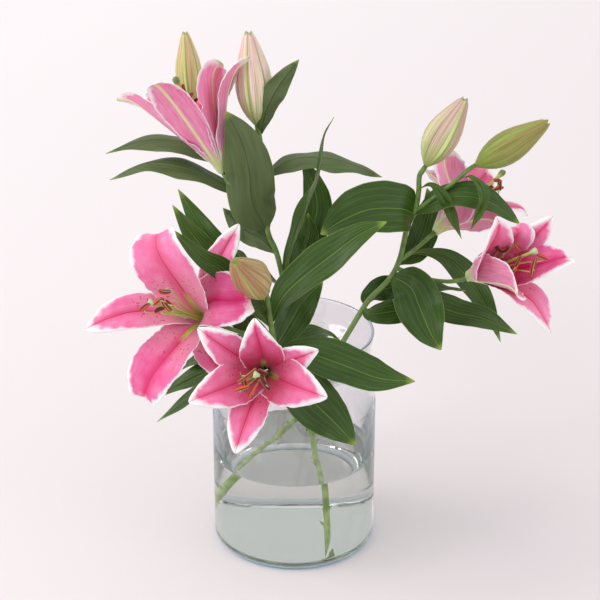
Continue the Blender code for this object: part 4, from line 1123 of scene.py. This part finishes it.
# Bloom 1 and bloom 4 are older, and their stigmas have turned a darker green.
fresh_stigma = lily_filament_skin("fresh_stigma_skin", "#B4C79A")
old_stigma = lily_filament_skin("old_stigma_skin", "#71864A")
STIGMA_SKINS = {"bloom_1": old_stigma, "bloom_4": old_stigma}
pollen = lily_pollen()
for number, blooms in BLOOMS.items():
    for name, bloom in blooms.items():
        foot, stigma, axis = standing(bloom.foot, bloom.stigma)
        pairs = [stamen(foot, axis, ends, 0.9 * place - 0.7) for place, ends in enumerate(bloom.anthers)]
        stalks = [pistil(foot, axis, stigma)] + [pair[0] for pair in pairs]
        stamens = name.replace("bloom", "stamens")
        show(f"{stamens}_stalks", gathered(f"{stamens}_stalks", stalks, "rod"),
             [STIGMA_SKINS.get(name, fresh_stigma)], stamens)
        show(f"{stamens}_anthers", gathered(f"{stamens}_anthers", [pair[1] for pair in pairs], "rod"),
             [pollen], stamens)

# The stems
# Three lily stems, cut at a slant and stripped of leaves below the rim. Each is a firm round green rod that
# grows thinner upwards, with scars and short stubs where its lower leaves came away, and carries the stalks
# of its buds and blooms.
STEM_RADIUS = 3.35 * MM
STEM_TOP_RADIUS = 2.8 * MM
PEDICEL_RADIUS = 2.3 * MM
PEDICEL_STRAIGHT = 9 * MM
FLOWER_GAP = 0.3 * MM
SLANT_CUT = 22 * MM
RECEPTACLE_RADIUS = 3.4 * MM
STEM_RINGS, PEDICEL_RINGS, STUB_RINGS, RECEPTACLE_RINGS = 240, 20, 8, 7
STEM_SIDES, PEDICEL_SIDES, STUB_SIDES, RECEPTACLE_SIDES = 28, 16, 10, 20
# A stem's foot is given in millimetres across, back and up.
STEM_FEET = {
    1: ((36, -71, 8.5), (30, -47, 78), (24, -27, 104), (17, -8, 145)),
    2: ((25, 78.4, 62), (17, 42, 104), (-6, -30, 190), (-24, -76.5, 249)),
    3: ((-75, 13, 9.4), (-46, 19, 58), (-18.6, 25, 104), (8, 26, 136)),
}
STEM_TOPS = {
    1: ((281, 270, 48), (268, 232, 60), (262, 190, 68), (261, 150, 72), (258, 128, 75)),
    2: ((274, 345, -80), (271, 325, -81), (267, 297, -82)),
    3: ((341, 345, 24), (359, 315, 35), (369, 300, 44), (390, 278, 56), (400, 258, 60),
        (407, 228, 64), (415, 212, 66), (418.6, 192, 66), (419.5, 176, 66), (425, 167, 66)),
}
# Where a leaf came away from each stem: how far along the stem in mm, how many degrees round from the right,
# and the length in mm of the stub that it left.
NODES = {
    1: ((37, 180, 6), (56, 0, 4), (98, 200, 3), (106, 170, 4), (126, 10, 4), (150, 200, 3), (172, 0, 3)),
    2: ((60, 90, 3), (110, 250, 4), (150, 40, 3), (196, 200, 4)),
    3: ((38, 200, 5), (64, 20, 3), (90, 180, 4), (107, 0, 4), (129, 190, 4), (141, 30, 3)),
}
STUB_RADIUS = 1.2 * MM
KNOT_HEIGHT = 0.7 * MM
KNOT_LENGTH = 2.2 * MM


def lily_stem_skin():
    """Waxy stem skin: yellow-green with fine long ridges, paler below and browned in small specks."""
    made, tree = empty_material("lily_stem_skin")
    places = node(tree, "TexCoord").outputs["Object"]
    height = node(tree, "SeparateXYZ", {"Vector": places}).outputs["Z"]
    fade = node(tree, "MapRange", (height, 0.02, 0.3))
    body = node(tree, "Mix", (fade, "#B8CD84", "#5A773B"), data_type="RGBA")
    mottle = node(tree, "TexNoise", {"Vector": places, "Scale": 1 / (9 * MM), "Detail": 3.0})
    patchy = node(tree, "MapRange", (mottle, 0.35, 0.7))
    varied = node(tree, "Mix", (patchy, body, "#789549"), data_type="RGBA")
    specks = node(tree, "TexNoise", {"Vector": places, "Scale": 1 / (1.6 * MM), "Detail": 1.0})
    browned = node(tree, "MapRange", (specks, 0.72, 0.8))
    colour = node(tree, "Mix", (browned, varied, "#6B5A35"), data_type="RGBA")
    degrees = pattern_of(tree, "rod")[0]
    ridge = node(tree, "Math", (degrees, 0.4), operation="MULTIPLY")
    ridges = node(tree, "Math", (ridge,), operation="SINE")
    relief = node(tree, "Bump", {"Height": ridges, "Strength": 0.15, "Distance": 0.2 * MM})
    shader = node(tree, "BsdfPrincipled", {
        "Base Color": colour, "Roughness": 0.42, "IOR": 1.45, "Subsurface Weight": 0.1,
        "Subsurface Scale": 0.003, "Normal": relief})
    node(tree, "OutputMaterial", {"Surface": shader})
    return made


def stem(number):
    """A stem with a slanted cut, slightly thicker at its nodes, and the stubs of its lower leaves."""
    foot = [Vector(place) * MM for place in STEM_FEET[number]]
    top = [seen(point) for point in STEM_TOPS[number]]
    places = [Vector(place) for place in smooth_curve(foot + top, STEM_RINGS)]
    runs = np.concatenate([[0], np.cumsum([(b - a).length for a, b in zip(places, places[1:])])])
    radii = np.linspace(STEM_RADIUS, STEM_TOP_RADIUS, len(places))
    stubs = []
    for along, turn, length in NODES[number]:
        radii = radii + KNOT_HEIGHT * np.exp(-((runs - along * MM) / KNOT_LENGTH) ** 2)
        index = int(np.searchsorted(runs, along * MM))
        run = (places[index + 1] - places[index]).normalized()
        rightward = (Vector((1, 0, 0)) - run * run.x).normalized()
        outward = Matrix.Rotation(math.radians(turn), 3, run) @ rightward
        root = places[index] + outward * STEM_RADIUS * 0.7
        end = places[index] + outward * (STEM_RADIUS + length * MM * 0.6) + run * length * MM * 0.8
        stub = [root, root.lerp(end, 0.5) + outward * 0.5 * MM, end]
        thinning = np.linspace(1.6, 0.5, STUB_RINGS) * STUB_RADIUS
        stubs.append(rod(smooth_curve(stub, STUB_RINGS), thinning, STUB_SIDES))
    return [rod(places, radii, STEM_SIDES, first_side=(1, 0, 0), slant=SLANT_CUT)] + stubs


def pedicel(points, end, axis):
    """A flower's own short stalk, which reaches its foot straight along its axis."""
    straight = end - axis * PEDICEL_STRAIGHT
    line = list(smooth_curve([seen(point) for point in points] + [straight], PEDICEL_RINGS))
    line.append(tuple(end - axis * FLOWER_GAP))
    radii = [PEDICEL_RADIUS * (1.1 - 0.15 * math.sin(math.pi * step / PEDICEL_RINGS))
             for step in range(PEDICEL_RINGS + 1)]
    return rod(line, radii, PEDICEL_SIDES)


stem_skin = lily_stem_skin()
for number in STEM_FEET:
    grown = stem(number)
    for bud in BUDS[number].values():
        foot, _, axis = standing(bud.foot, bud.tip)
        grown.append(pedicel(bud.pedicel, foot, axis))
    for bloom in BLOOMS[number].values():
        foot, _, axis = standing(bloom.foot, bloom.stigma)
        grown.append(pedicel(bloom.pedicel, foot, axis))
        receptacle = [foot + axis * RECEPTACLE_LENGTH * step / (RECEPTACLE_RINGS - 1)
                      for step in range(RECEPTACLE_RINGS)]
        widening = np.linspace(PEDICEL_RADIUS, RECEPTACLE_RADIUS, RECEPTACLE_RINGS)
        grown.append(rod(receptacle, widening, RECEPTACLE_SIDES))
    show(f"stem_{number}", gathered(f"stem_{number}", grown, "rod"), [stem_skin],
         f"leafy_stem_{number}")

# The water
# Tap water poured round the stems to two fifths of the vase's height. It wets the glass, so it climbs a
# little at the wall.
WETTED = 0.1 * MM
MENISCUS_REACH = 1.8 * MM
SURFACE_RIPPLE = 30 * MM
STILL_RADIUS = 80 * MM
STILL_RINGS, CLIMBING_RINGS = 24, 10


def tap_water():
    """Still water: clear, with the faintest green from the stems standing in it."""
    return clear_body("tap_water", "#F6F6F1", "#E9EDE6", WATER_INDEX, SURFACE_RIPPLE, 0.03, "#E0E1DC")


def water_against_glass():
    """The sides of the water: the wetted glass already bends the view, so these only tint it."""
    made, tree = empty_material("water_against_glass")
    shader = node(tree, "BsdfTransparent", {"Color": "#F2F4F1"})
    node(tree, "OutputMaterial", {"Surface": shader})
    return made


wet_foot = [(radius + WETTED, height - WETTED) for radius, height in inner_foot]
surface = [(radius, WATER_LEVEL + MENISCUS * math.exp(-(wet_foot[0][0] - radius) / MENISCUS_REACH))
           for radius in [*np.linspace(0, STILL_RADIUS, STILL_RINGS)[1:],
                          *np.linspace(STILL_RADIUS, wet_foot[0][0], CLIMBING_RINGS)[1:]]]
water_flat = [(radius, VASE_FLOOR - WETTED) for radius in flat_radii[::-1]] + [(0, VASE_FLOOR - WETTED)]
water_outline = [(0, WATER_LEVEL)] + surface + wet_foot + water_flat
water = show("water", turned("water", water_outline, VASE_SIDES), [tap_water(), water_against_glass()],
             "water")
for face in water.data.polygons:
    face.material_index = int(face.normal.z < 0.3)

# The floor, light and camera
# A plain pale sweep of paper with soft studio light, seen from the front and above.
FLOOR_SIZE = 12.0
SENSOR_WIDTH = 36
LIGHT_BOUNCES = 32


def pale_paper():
    """Matt off-white background paper, darker at the near right: painted shade for how the light falls off.
    """
    made, tree = empty_material("pale_paper")
    place = node(tree, "SeparateXYZ", {"Vector": node(tree, "TexCoord").outputs["Object"]})
    # Painted light: lighter to the far left and darker to the near right, standing in for the light's
    # fall-off across the paper.
    leftward = node(tree, "Math", (place.outputs["X"], -1.6), operation="MULTIPLY")
    away = node(tree, "Math", (leftward, place.outputs["Y"]), operation="ADD")
    share = node(tree, "MapRange", (away, -0.6, 2.6))
    colour = node(tree, "Mix", (share, "#E1D9D9", "#F3EDED"), data_type="RGBA")
    shader = node(tree, "BsdfPrincipled", {
        "Base Color": colour, "Roughness": 0.95, "Specular IOR Level": 0.2})
    node(tree, "OutputMaterial", {"Surface": shader})
    return made


floor_mesh = mesh_of("floor", [(x * FLOOR_SIZE / 2, y * FLOOR_SIZE / 2, 0)
                               for x, y in ((-1, -1), (1, -1), (1, 1), (-1, 1))], [(0, 1, 2, 3)])
floor_mesh.materials.append(pale_paper())
floor = bpy.data.objects.new("floor", floor_mesh)
bpy.context.scene.collection.objects.link(floor)

world = bpy.data.worlds.new("studio")
world.use_nodes = True
world.node_tree.nodes["Background"].inputs["Color"].default_value = linear("#F6F6F9")
world.node_tree.nodes["Background"].inputs["Strength"].default_value = 0.97
bpy.context.scene.world = world

sun_data = bpy.data.lights.new("window", "SUN")
sun_data.angle = math.radians(34)
sun_data.energy = 1.0
sun_data.color = linear("#FFFBF8")[:3]
sun = bpy.data.objects.new("window", sun_data)
sun.rotation_euler = Vector((1.3, -0.05, -1.05)).to_track_quat("-Z", "Y").to_euler()
bpy.context.scene.collection.objects.link(sun)

Softbox = namedtuple("Softbox", "place aim size watts")
SOFTBOXES = {
    "left_softbox": Softbox((-1.1, -1.0, 1.5), (0, 0, 0.3), (0.35, 0.5), 6),
    "right_softbox": Softbox((1.5, -0.9, 1.0), (0, 0, 0.3), (0.5, 1.0), 3),
}
for name, softbox in SOFTBOXES.items():
    data = bpy.data.lights.new(name, "AREA")
    data.shape = "RECTANGLE"
    data.size, data.size_y = softbox.size
    data.energy = softbox.watts
    light = bpy.data.objects.new(name, data)
    light.location = softbox.place
    light.rotation_euler = (Vector(softbox.aim) - Vector(softbox.place)).to_track_quat("-Z", "Y").to_euler()
    bpy.context.scene.collection.objects.link(light)

camera_data = bpy.data.cameras.new("camera")
camera_data.sensor_width = SENSOR_WIDTH
camera_data.lens = SENSOR_WIDTH * VIEW_FOCAL / (2 * VIEW_CENTRE)
camera = bpy.data.objects.new("camera", camera_data)
camera.location = camera_place
camera.rotation_euler = (math.pi / 2 - VIEW_PITCH, 0, 0)
bpy.context.scene.collection.objects.link(camera)
bpy.context.scene.camera = camera
bpy.context.scene.view_settings.view_transform = "Standard"
# Glass, water and the stems between them need long light paths.
for limit in ("max_bounces", "glossy_bounces", "transmission_bounces", "transparent_max_bounces"):
    setattr(bpy.context.scene.cycles, limit, LIGHT_BOUNCES)
